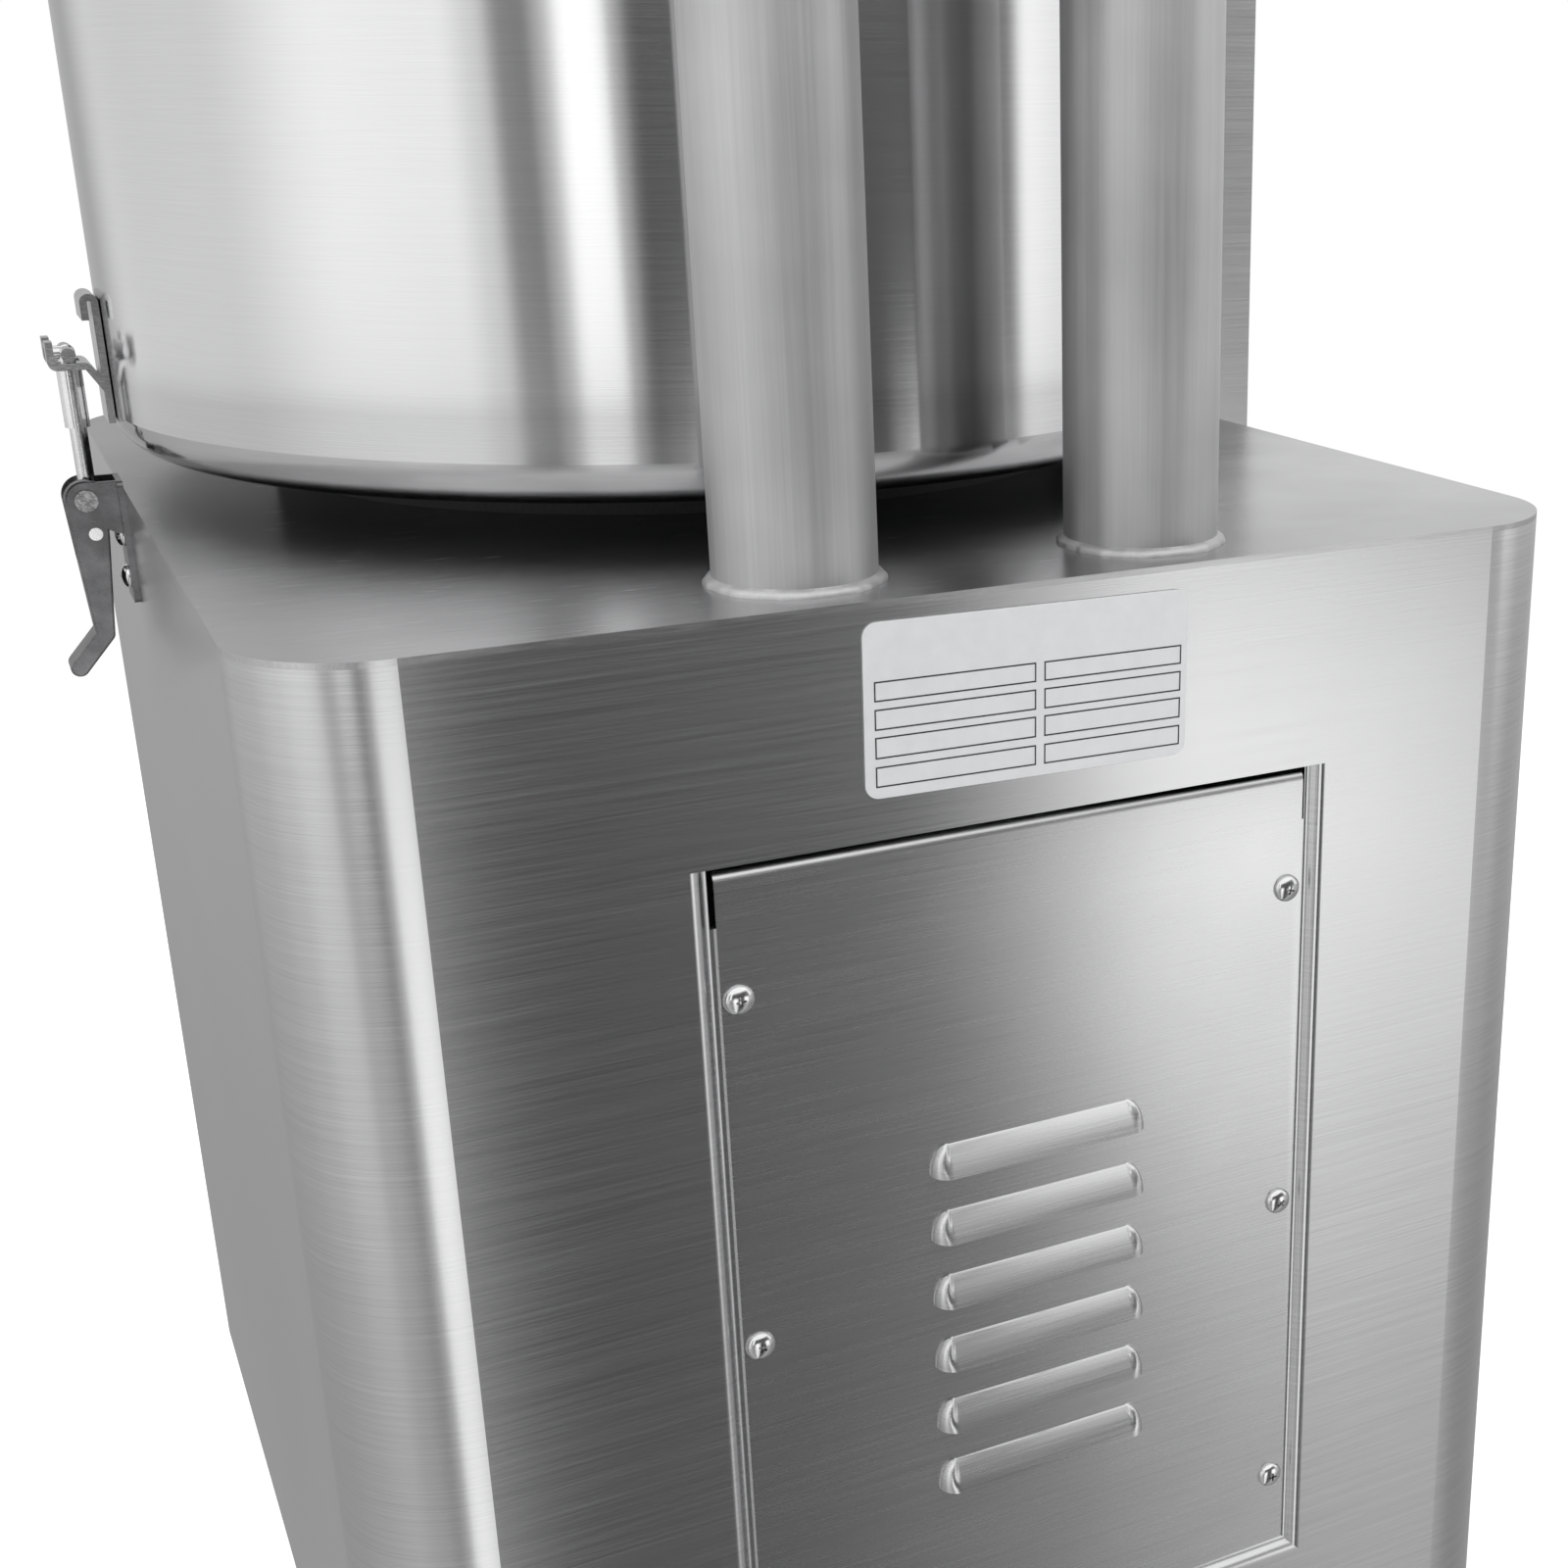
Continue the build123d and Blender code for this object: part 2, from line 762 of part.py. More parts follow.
# Lid: a spun sheet with a flat border, a central dome and a skirt outside the rim bead.
lid_radius = drum_radius + rim_bead_radius + lid_skirt_gap + lid_sheet
with BuildPart() as lid:
    with BuildSketch(Plane.XZ):
        with BuildLine():
            skirt_inner = lid_radius - lid_sheet
            dome_top_z = lid_top_z + lid_dome_rise
            Line((0, dome_top_z), (0, dome_top_z - lid_sheet))
            TangentArc((0, dome_top_z - lid_sheet), (lid_dome_radius, lid_rest_z), tangent=(1, 0))
            Polyline(
                (lid_dome_radius, lid_rest_z),
                (skirt_inner, lid_rest_z),
                (skirt_inner, lid_rest_z - lid_skirt),
                (lid_radius, lid_rest_z - lid_skirt),
                (lid_radius, lid_top_z),
                (lid_dome_radius, lid_top_z),
            )
            TangentArc((0, dome_top_z), (lid_dome_radius, lid_top_z), tangent=(1, 0))
        make_face()
    revolve(axis=Axis.Z)
    skirt_face = lid.faces().filter_by(GeomType.CYLINDER).sort_by(SortBy.AREA)[-1]
    fillet(skirt_face.edges().sort_by(Axis.Z)[-1], lid_edge)
lid.part.label = "lid"
export_step(lid.part, "parts/lid.step")


# Rubber seal under the lid's border, just clear of the rim.
with BuildPart() as lid_seal:
    with BuildSketch(Plane.XY.offset(lid_rest_z - seal_thickness)):
        Circle(drum_radius + rim_bead_radius)
        Circle(drum_radius + rim_bead_radius - seal_width, mode=Mode.SUBTRACT)
    extrude(amount=seal_thickness)
lid_seal.part.label = "lid_seal"
export_step(lid_seal.part, "parts/lid_seal.step")


# Lid arm: a flat strap on the lid's border that ends in the hinge knuckle between the posts.
arm_width = post_spacing - 2 * post_radius - 2 * hinge_side_gap
arm_front_y = lid_radius - arm_reach
with BuildPart() as lid_arm:
    with BuildSketch(Plane.XY.offset(lid_top_z)):
        with Locations((rear_shift, (arm_front_y + post_y) / 2)):
            Rectangle(arm_width, post_y - arm_front_y)
    extrude(amount=arm_thickness)
    fillet(lid_arm.edges().filter_by(Axis.Z).group_by(Axis.Y)[0], arm_edge)
    with Locations((rear_shift, post_y, hinge_z)):
        Cylinder(knuckle_radius, arm_width, rotation=(0, 90, 0))
        Cylinder(hinge_pin_radius + hinge_running_gap, 2 * arm_width, rotation=(0, 90, 0), mode=Mode.SUBTRACT)
lid_arm.part.label = "lid_arm"
export_step(lid_arm.part, "parts/lid_arm.step")


# Lid handle: a bent bar on two round feet at the front of the border.
handle_y = -(lid_dome_radius + lid_radius) / 2
with BuildPart() as lid_handle:
    with BuildLine() as handle_path:
        FilletPolyline(
            (-handle_width / 2, handle_y, lid_top_z),
            (-handle_width / 2, handle_y, lid_top_z + handle_rise),
            (handle_width / 2, handle_y, lid_top_z + handle_rise),
            (handle_width / 2, handle_y, lid_top_z),
            radius=handle_bend,
        )
    with BuildSketch(Plane((-handle_width / 2, handle_y, lid_top_z))):
        Circle(handle_radius)
    sweep(path=handle_path.line)
    with Locations((-handle_width / 2, handle_y, lid_top_z), (handle_width / 2, handle_y, lid_top_z)):
        Cylinder(handle_foot_radius, handle_foot_height, align=(Align.CENTER, Align.CENTER, Align.MIN))
lid_handle.part.label = "lid_handle"
export_step(lid_handle.part, "parts/lid_handle.step")


def band(inner_radius, outer_radius, start_x, end_x, floor_z):
    with BuildSketch(Plane.XY.offset(floor_z)) as plan:
        Circle(outer_radius)
        Circle(inner_radius, mode=Mode.SUBTRACT)
        with Locations(((start_x + end_x) / 2, -outer_radius / 2)):
            Rectangle(end_x - start_x, outer_radius, mode=Mode.INTERSECT)
    return plan.sketch


# Discharge gate: a curved plate that lifts in two guides on the drum wall.
gate_inner_radius = drum_radius + gate_gap
gate_outer_radius = gate_inner_radius + gate_sheet
gate_half = opening_width / 2 + gate_overlap
gate_z = opening_z - gate_overlap
gate_height = opening_height + 2 * gate_overlap
with BuildPart() as discharge_gate:
    gate_plan = band(gate_inner_radius, gate_outer_radius, -gate_half, gate_half, gate_z)
    extrude(gate_plan, amount=gate_height)
discharge_gate.part.label = "discharge_gate"
export_step(discharge_gate.part, "parts/discharge_gate.step")

channel_x = gate_half + gate_gap
guide_outer_x = channel_x + guide_base
guide_face_radius = gate_outer_radius + gate_gap
guide_outer_radius = guide_face_radius + guide_sheet
ledge_z = gate_z - rest_gap
guide_height = gate_height + gate_travel
with BuildPart() as gate_guide:
    foot_plan = band(drum_radius, guide_outer_radius, channel_x, guide_outer_x, ledge_z)
    lip_plan = band(guide_face_radius, guide_outer_radius, channel_x - guide_lip, channel_x, ledge_z)
    extrude(foot_plan, amount=guide_height)
    extrude(lip_plan, amount=guide_height)
gate_guide.part.label = "gate_guide_left"
export_step(gate_guide.part, "parts/gate_guide_left.step")

with BuildPart() as gate_guide_right:
    add(mirror(gate_guide.part, about=Plane.YZ))
gate_guide_right.part.label = "gate_guide_right"
export_step(gate_guide_right.part, "parts/gate_guide_right.step")


# Gate handle: a bent bar across the gate.
bow_z = opening_z + opening_height / 2
bow_root_y = -sqrt(gate_outer_radius**2 - (bow_width / 2) ** 2)
bow_front_y = -gate_outer_radius - bow_reach
with BuildPart() as gate_handle:
    with BuildLine() as bow_path:
        FilletPolyline(
            (-bow_width / 2, bow_root_y + gate_sheet / 2, bow_z),
            (-bow_width / 2, bow_front_y, bow_z),
            (bow_width / 2, bow_front_y, bow_z),
            (bow_width / 2, bow_root_y + gate_sheet / 2, bow_z),
            radius=bow_bend,
        )
    with BuildSketch(Plane((-bow_width / 2, bow_root_y + gate_sheet / 2, bow_z), z_dir=(0, -1, 0))):
        Circle(bow_radius)
    sweep(path=bow_path.line)
    with Locations((0, 0, bow_z)):
        Cylinder(gate_outer_radius, 4 * bow_radius, mode=Mode.SUBTRACT)
gate_handle.part.label = "gate_handle"
export_step(gate_handle.part, "parts/gate_handle.step")


# Discharge chute: a sloping tray below the gate, welded to the drum around the guides.
chute_half = guide_outer_x + chute_side_gap + chute_sheet
ledge_y = -(drum_radius + chute_ledge)
chute_tip_y = -(drum_radius + chute_reach)
with BuildPart() as discharge_chute:
    with BuildSketch(Plane.YZ.offset(-chute_half)) as chute_side:
        with BuildLine():
            Polyline(
                (-(drum_radius - chute_root), ledge_z - chute_sheet),
                (ledge_y, ledge_z - chute_sheet),
                (chute_tip_y, ledge_z - chute_sheet - chute_drop),
                (chute_tip_y, ledge_z - chute_drop + chute_front_cheek),
                (ledge_y, ledge_z + chute_cheek),
                (-(drum_radius - chute_root), ledge_z + chute_cheek),
                close=True,
            )
        make_face()
    extrude(amount=2 * chute_half)
    with BuildSketch(Plane.YZ.offset(-(chute_half - chute_sheet))) as chute_channel:
        with BuildLine():
            Polyline(
                (-(drum_radius - chute_root), ledge_z),
                (ledge_y, ledge_z),
                (chute_tip_y - cut, ledge_z - chute_drop * (1 + cut / (chute_reach - chute_ledge))),
                (chute_tip_y - cut, ledge_z + 2 * chute_cheek),
                (-(drum_radius - chute_root), ledge_z + 2 * chute_cheek),
                close=True,
            )
        make_face()
    extrude(amount=2 * (chute_half - chute_sheet), mode=Mode.SUBTRACT)
    with Locations((0, 0, ledge_z)):
        Cylinder(drum_radius, 4 * chute_cheek, mode=Mode.SUBTRACT)
discharge_chute.part.label = "discharge_chute"
export_step(discharge_chute.part, "parts/discharge_chute.step")


# Peeling disc: a cast plate with a hub and two wipers that push the peelings to the waste pipe.
disc_radius = liner_inner_radius - disc_gap
with BuildPart() as peeling_disc:
    with BuildSketch(Plane.XY.offset(disc_z)):
        Circle(disc_radius)
    extrude(amount=disc_sheet)
    with BuildSketch(Plane.XY.offset(disc_z - hub_depth + disc_sheet)):
        Circle(hub_radius)
    extrude(amount=hub_depth - disc_sheet)
    with BuildSketch(Plane.XY.offset(drum_floor_z + wiper_gap)):
        with PolarLocations(wiper_inset + wiper_length / 2, 2):
            Rectangle(wiper_length, wiper_width)
    extrude(amount=disc_lift - wiper_gap)
    with Locations((0, 0, disc_z)):
        Cylinder(shaft_radius, 4 * hub_depth, mode=Mode.SUBTRACT)
peeling_disc.part.label = "peeling_disc"
export_step(peeling_disc.part, "parts/peeling_disc.step")


# Grit coat of the disc, with raised radial waves that toss the potatoes.
with BuildPart() as disc_grit:
    with BuildSketch(Plane.XY.offset(disc_top_z)):
        Circle(disc_radius)
    extrude(amount=grit_thickness)
    with BuildSketch(Plane.XY.offset(grit_top_z)):
        with PolarLocations(wave_ring_radius, wave_count):
            SlotOverall(wave_length, wave_width)
    extrude(amount=wave_rise, taper=wave_taper)
    with Locations((0, 0, disc_top_z)):
        Cylinder(shaft_radius, 4 * grit_thickness, mode=Mode.SUBTRACT)
disc_grit.part.label = "disc_grit"
export_step(disc_grit.part, "parts/disc_grit.step")


# Domed nut that clamps the disc on the spindle.
shaft_top_z = grit_top_z + shaft_tip
with BuildPart() as disc_nut:
    with Locations((0, 0, grit_top_z)):
        Cylinder(disc_nut_radius, disc_nut_height, align=(Align.CENTER, Align.CENTER, Align.MIN))
    fillet(disc_nut.edges().group_by(Axis.Z)[-1], disc_nut_edge)
    with Locations((0, 0, grit_top_z)):
        Cylinder(shaft_radius, 2 * shaft_tip, mode=Mode.SUBTRACT)
disc_nut.part.label = "disc_nut"
export_step(disc_nut.part, "parts/disc_nut.step")


# Spindle: carries the disc above and the large pulley between the bearings and the cabinet top.
shaft_bottom_z = housing_z - shaft_tail
with BuildPart() as main_shaft:
    with BuildSketch(Plane.XY.offset(shaft_bottom_z)):
        Circle(shaft_radius)
    extrude(amount=shaft_top_z - shaft_bottom_z)
    chamfer(main_shaft.edges().group_by(Axis.Z)[0], shaft_chamfer)
main_shaft.part.label = "main_shaft"
export_step(main_shaft.part, "parts/main_shaft.step")


# Rubber lip seal inside the drum's collar, just clear of the spindle.
collar_top_z = drum_floor_z + collar_height
with BuildPart() as shaft_seal:
    with BuildSketch(Plane.XY.offset(collar_top_z - seal_lip)):
        Circle(collar_radius)
        Circle(shaft_radius + rest_gap, mode=Mode.SUBTRACT)
    extrude(amount=seal_lip)
shaft_seal.part.label = "shaft_seal"
export_step(shaft_seal.part, "parts/shaft_seal.step")


# Drive plate: hangs between the side walls on two turned-down flanges.
drive_half = side_wall_x - cabinet_sheet - drive_edge_gap
drive_rear_y = belt_spacing + motor_flange_radius
with BuildPart() as drive_plate:
    with BuildSketch(Plane.XY.offset(drive_under_z)):
        with Locations((0, (drive_rear_y - drive_front) / 2)):
            Rectangle(2 * drive_half, drive_rear_y + drive_front)
        with Locations((-waste_x, waste_y)):
            Circle(waste_radius + waste_flange_width, mode=Mode.SUBTRACT)
        Circle(shaft_window_radius, mode=Mode.SUBTRACT)
        with PolarLocations(housing_bolt_radius, 4, start_angle=45):
            Circle(bolt_radius + bolt_clearance, mode=Mode.SUBTRACT)
        with Locations((0, belt_spacing)):
            SlotCenterToCenter(motor_slot_length, 2 * motor_window_width, rotation=90, mode=Mode.SUBTRACT)
            with PolarLocations(motor_bolt_radius, 4, start_angle=45, rotate=False):
                SlotCenterToCenter(
                    motor_slot_length,
                    2 * bolt_radius + bolt_clearance,
                    rotation=90,
                    mode=Mode.SUBTRACT,
                )
    extrude(amount=drive_thickness)
    with BuildSketch(Plane.XY.offset(drive_under_z)):
        with Locations((0, (drive_rear_y - drive_front) / 2)):
            Rectangle(2 * drive_half, drive_rear_y + drive_front)
            Rectangle(2 * (drive_half - drive_thickness), drive_rear_y + drive_front, mode=Mode.SUBTRACT)
    extrude(amount=-drive_flange)
drive_plate.part.label = "drive_plate"
export_step(drive_plate.part, "parts/drive_plate.step")


# Bearing housing: a turned casting under the drive plate with a seat for a bearing at each end.
with BuildPart() as housing_rib:
    with BuildSketch(Plane.XZ):
        with BuildLine():
            Polyline(
                (housing_radius - housing_rib_sheet, drive_under_z - housing_flange),
                (housing_flange_radius - housing_rib_sheet, drive_under_z - housing_flange),
                (housing_radius - housing_rib_sheet, drive_under_z - housing_height * 0.6),
                close=True,
            )
        make_face()
    extrude(amount=housing_rib_sheet / 2, both=True)

with BuildPart() as bearing_housing:
    with BuildSketch(Plane.XZ):
        with BuildLine():
            Polyline(
                (bearing_radius, drive_under_z),
                (housing_flange_radius, drive_under_z),
                (housing_flange_radius, drive_under_z - housing_flange),
                (housing_radius, drive_under_z - housing_flange),
                (housing_radius, housing_z),
                (bearing_radius, housing_z),
                (bearing_radius, housing_z + bearing_width),
                (bearing_radius - bearing_race, housing_z + bearing_width),
                (bearing_radius - bearing_race, drive_under_z - bearing_width),
                (bearing_radius, drive_under_z - bearing_width),
                close=True,
            )
        make_face()
    revolve(axis=Axis.Z)
    with PolarLocations(0, 4):
        add(housing_rib.part)
    with BuildSketch(Plane.XY.offset(drive_under_z)):
        with PolarLocations(housing_bolt_radius, 4, start_angle=45):
            Circle(bolt_radius)
    extrude(amount=-housing_flange, mode=Mode.SUBTRACT)
bearing_housing.part.label = "bearing_housing"
export_step(bearing_housing.part, "parts/bearing_housing.step")


# Two sealed bearings in the housing; their bores run on the spindle.
with BuildPart() as spindle_bearings:
    for bearing_z in (housing_z, drive_under_z - bearing_width):
        with BuildSketch(Plane.XY.offset(bearing_z)):
            Circle(bearing_radius)
            Circle(shaft_radius + running_gap, mode=Mode.SUBTRACT)
        extrude(amount=bearing_width)
        with BuildSketch(Plane.XY.offset(bearing_z)):
            Circle(bearing_radius - bearing_race)
            Circle(shaft_radius + running_gap + bearing_race, mode=Mode.SUBTRACT)
        extrude(amount=bearing_shield, mode=Mode.SUBTRACT)
spindle_bearings.part.label = "spindle_bearings"
export_step(spindle_bearings.part, "parts/spindle_bearings.step")


def pulley_section(pitch_radius, bore_radius):
    outer = pitch_radius + belt_height / 2
    root = pitch_radius - belt_height / 2 - groove_depth
    mouth = belt_width / 2 + groove_gap
    floor_half = mouth - (outer - root) * tan(radians(belt_taper))
    half = pulley_face / 2
    with BuildSketch(Plane.XZ) as section:
        with BuildLine():
            Polyline(
                (bore_radius, belt_z - half),
                (outer, belt_z - half),
                (outer, belt_z - mouth),
                (root, belt_z - floor_half),
                (root, belt_z + floor_half),
                (outer, belt_z + mouth),
                (outer, belt_z + half),
                (bore_radius, belt_z + half),
                close=True,
            )
        make_face()
    return section.sketch


# Large pulley on the spindle, hollowed to a web with round lightening holes.
rim_inner_radius = large_pitch_radius - belt_height / 2 - groove_depth - pulley_rim
with BuildPart() as large_pulley:
    revolve(pulley_section(large_pitch_radius, shaft_radius), axis=Axis.Z)
    for recess_plane in (Plane.XY.offset(pulley_z), Plane.XY.offset(belt_z + pulley_web / 2)):
        with BuildSketch(recess_plane):
            Circle(rim_inner_radius)
            Circle(pulley_hub_radius, mode=Mode.SUBTRACT)
        extrude(amount=(pulley_face - pulley_web) / 2, mode=Mode.SUBTRACT)
    with BuildSketch(Plane.XY.offset(belt_z - pulley_web / 2)):
        with PolarLocations(pulley_hole_ring_radius, pulley_hole_count):
            Circle(pulley_hole_radius)
    extrude(amount=pulley_web, mode=Mode.SUBTRACT)
large_pulley.part.label = "large_pulley"
export_step(large_pulley.part, "parts/large_pulley.step")


# Small pulley on the motor shaft.
with BuildPart() as motor_pulley:
    small_section = pulley_section(small_pitch_radius, motor_shaft_radius)
    revolve(Pos(0, belt_spacing, 0) * small_section, axis=Axis((0, belt_spacing, 0), (0, 0, 1)))
motor_pulley.part.label = "motor_pulley"
export_step(motor_pulley.part, "parts/motor_pulley.step")


# V-belt: a trapezoid swept along the pitch line of both pulleys.
belt_angle = asin((large_pitch_radius - small_pitch_radius) / belt_spacing)
large_touch = (large_pitch_radius * cos(belt_angle), large_pitch_radius * sin(belt_angle))
small_touch = (small_pitch_radius * cos(belt_angle), belt_spacing + small_pitch_radius * sin(belt_angle))
belt_back = belt_width / 2
belt_front = belt_width / 2 - belt_height * tan(radians(belt_taper))
with BuildPart() as v_belt:
    with BuildLine(Plane.XY.offset(belt_z)) as belt_path:
        Line(large_touch, small_touch)
        ThreePointArc(small_touch, (0, belt_spacing + small_pitch_radius), (-small_touch[0], small_touch[1]))
        Line((-small_touch[0], small_touch[1]), (-large_touch[0], large_touch[1]))
        ThreePointArc((-large_touch[0], large_touch[1]), (0, -large_pitch_radius), large_touch)
    belt_start = Plane(
        origin=(large_touch[0], large_touch[1], belt_z),
        x_dir=(cos(belt_angle), sin(belt_angle), 0),
        z_dir=(-sin(belt_angle), cos(belt_angle), 0),
    )
    with BuildSketch(belt_start):
        with BuildLine():
            Polyline(
                (-belt_height / 2, -belt_front),
                (belt_height / 2, -belt_back),
                (belt_height / 2, belt_back),
                (-belt_height / 2, belt_front),
                close=True,
            )
        make_face()
    sweep(path=belt_path.line, transition=Transition.RIGHT)
v_belt.part.label = "v_belt"
export_step(v_belt.part, "parts/v_belt.step")


# Motor shaft: runs in the motor's top bearing and carries the small pulley.
motor_shaft_top = belt_z + pulley_face / 2
with BuildPart() as motor_shaft:
    with BuildSketch(Plane.XY.offset(drive_under_z - motor_shaft_depth)):
        with Locations((0, belt_spacing)):
            Circle(motor_shaft_radius)
    extrude(amount=motor_shaft_top - drive_under_z + motor_shaft_depth)
motor_shaft.part.label = "motor_shaft"
export_step(motor_shaft.part, "parts/motor_shaft.step")


# Motor: a ribbed case hung by its flange, with a terminal box on its side.
motor_bottom_z = drive_under_z - motor_height
fin_top_z = drive_under_z - motor_flange - fin_margin
fin_bottom_z = motor_bottom_z + fan_cover_lap + fin_margin
with BuildPart() as motor_body:
    with BuildSketch(Plane.XY.offset(drive_under_z)):
        with Locations((0, belt_spacing)):
            Circle(motor_flange_radius)
            with PolarLocations(motor_bolt_radius, 4, start_angle=45):
                Circle(bolt_radius, mode=Mode.SUBTRACT)
    extrude(amount=-motor_flange)
    with BuildSketch(Plane.XY.offset(fin_bottom_z)):
        with Locations((0, belt_spacing)):
            with PolarLocations(motor_radius, motor_fins):
                Rectangle(2 * fin_height, fin_width)
    extrude(amount=fin_top_z - fin_bottom_z)
    with BuildSketch(Plane.XY.offset(motor_bottom_z)):
        with Locations((0, belt_spacing)):
            Circle(motor_radius - motor_neck)
    extrude(amount=motor_height - motor_flange)
    with BuildSketch(Plane.XY.offset(motor_bottom_z)):
        with Locations((0, belt_spacing)):
            Circle(motor_radius)
    extrude(amount=fin_top_z - motor_bottom_z)
    with Locations((-(motor_radius + terminal_depth / 2), belt_spacing, (fin_top_z + fin_bottom_z) / 2)):
        Box(terminal_depth + 2 * fin_height, terminal_width, terminal_height)
    fillet(motor_body.faces().sort_by(Axis.X)[0].edges(), fin_height)
    with Locations((0, belt_spacing, drive_under_z)):
        Cylinder(
            motor_shaft_radius + running_gap,
            motor_shaft_depth + cut,
            align=(Align.CENTER, Align.CENTER, Align.MAX),
            mode=Mode.SUBTRACT,
        )
motor_body.part.label = "motor_body"
export_step(motor_body.part, "parts/motor_body.step")


# Fan cover: a cup over the lower end of the motor with radial air slots.
fan_cover_z = motor_bottom_z + fan_cover_lap - fan_cover_height
with BuildPart() as motor_fan_cover:
    with Locations((0, belt_spacing, fan_cover_z)):
        Cylinder(fan_cover_radius, fan_cover_height, align=(Align.CENTER, Align.CENTER, Align.MIN))
    fillet(motor_fan_cover.edges().group_by(Axis.Z)[0], fan_cover_edge)
    offset(amount=-(fan_cover_radius - motor_radius), openings=motor_fan_cover.faces().sort_by(Axis.Z)[-1])
    with BuildSketch(Plane.XY.offset(fan_cover_z)):
        with Locations((0, belt_spacing)):
            with PolarLocations(fan_slot_radius, fan_slot_count):
                SlotOverall(fan_slot_length, fan_slot_width)
    extrude(amount=fan_cover_height / 2, mode=Mode.SUBTRACT)
motor_fan_cover.part.label = "motor_fan_cover"
export_step(motor_fan_cover.part, "parts/motor_fan_cover.step")


# Eight equal hex bolts: four hold the bearing housing and four the motor.
with BuildPart() as drive_bolts:
    with BuildSketch(Plane.XY.offset(drive_z)) as bolt_places:
        with PolarLocations(housing_bolt_radius, 4, start_angle=45):
            RegularPolygon(bolt_head_radius, 6)
        with Locations((0, belt_spacing)):
            with PolarLocations(motor_bolt_radius, 4, start_angle=45):
                RegularPolygon(bolt_head_radius, 6)
    extrude(amount=bolt_head_height)
    with BuildSketch(Plane.XY.offset(drive_z)):
        with PolarLocations(housing_bolt_radius, 4, start_angle=45):
            Circle(bolt_radius)
        with Locations((0, belt_spacing)):
            with PolarLocations(motor_bolt_radius, 4, start_angle=45):
                Circle(bolt_radius)
    extrude(amount=-bolt_length)
drive_bolts.part.label = "drive_bolts"
export_step(drive_bolts.part, "parts/drive_bolts.step")


# Side latch, drawn for the left-hand side; X runs out from the cabinet wall and Z up from its top.
latch_line_x = max(side_wall_x, drum_radius)
pivot = (latch_line_x + pivot_out, cabinet_top_z - pivot_drop)
link = (latch_line_x + link_out, cabinet_top_z - link_drop)
bend = (latch_line_x + lever_bend_out, cabinet_top_z - lever_bend_drop)
tip = (latch_line_x + lever_tip_out, cabinet_top_z - lever_tip_drop)
plate_out_x = side_wall_x + latch_sheet
ear_inner = ear_gap / 2
lever_inner = lever_width / 2 - lever_wall
with BuildPart() as latch_base:
    with BuildSketch(Plane.YZ.offset(side_wall_x)):
        with Locations((0, pivot[1] + ear_radius - latch_height / 2)):
            RectangleRounded(latch_width, latch_height, latch_sheet)
        with Locations(*[(0, cabinet_top_z - drop) for drop in latch_screw_drops]):
            Circle(screw_radius + screw_clearance, mode=Mode.SUBTRACT)
    extrude(amount=latch_sheet)
    for ear_y in (ear_inner, -ear_inner - ear_sheet):
        with BuildSketch(Plane.XZ.offset(ear_y)):
            with Locations(pivot):
                Circle(ear_radius)
            with Locations((plate_out_x, pivot[1] + ear_radius)):
                Rectangle(latch_sheet, 3 * ear_radius, align=(Align.MIN, Align.MAX))
            make_hull()
            with Locations(pivot):
                Circle(pivot_radius, mode=Mode.SUBTRACT)
        extrude(amount=ear_sheet)
latch_base.part.label = "latch_left_base"
export_step(latch_base.part, "parts/latch_left_base.step")

# Lever: a folded channel whose cheeks turn on the rivets; its web starts below the link.
with BuildPart() as latch_lever:
    with BuildSketch(Plane.XZ):
        with Locations(pivot):
            Circle(lever_eye_radius)
        with Locations(bend):
            Circle(lever_neck_radius)
        make_hull()
    extrude(amount=lever_width / 2, both=True)
    with BuildSketch(Plane.XZ):
        with Locations(bend):
            Circle(lever_neck_radius)
        with Locations(tip):
            Circle(lever_neck_radius)
        make_hull()
    extrude(amount=lever_width / 2, both=True)
    fillet(latch_lever.faces().filter_by(Axis.Y).edges(), lever_wall / 2)
    with BuildSketch(Plane.XZ):
        with Locations((side_wall_x, cabinet_top_z - lever_window_drop)):
            Rectangle(
                pivot[0] + 2 * lever_eye_radius - side_wall_x,
                2 * lever_eye_radius + lever_window_drop,
                align=(Align.MIN, Align.MIN),
            )
    extrude(amount=lever_inner, both=True, mode=Mode.SUBTRACT)
    with BuildSketch(Plane.XZ):
        with BuildLine():
            Polyline(
                (side_wall_x, cabinet_top_z - lever_window_drop),
                (pivot[0] + lever_eye_radius - 2 * lever_wall, cabinet_top_z - lever_window_drop),
                (bend[0] + lever_neck_radius - lever_wall, bend[1]),
                (side_wall_x, bend[1]),
                close=True,
            )
        make_face()
    extrude(amount=lever_inner, both=True, mode=Mode.SUBTRACT)
    with BuildSketch(Plane.XZ):
        with Locations(pivot):
            Circle(pivot_radius + running_gap)
        with Locations(link):
            Circle(trunnion_radius + running_gap)
    extrude(amount=lever_width, both=True, mode=Mode.SUBTRACT)
latch_lever.part.label = "latch_left_lever"
export_step(latch_lever.part, "parts/latch_left_lever.step")

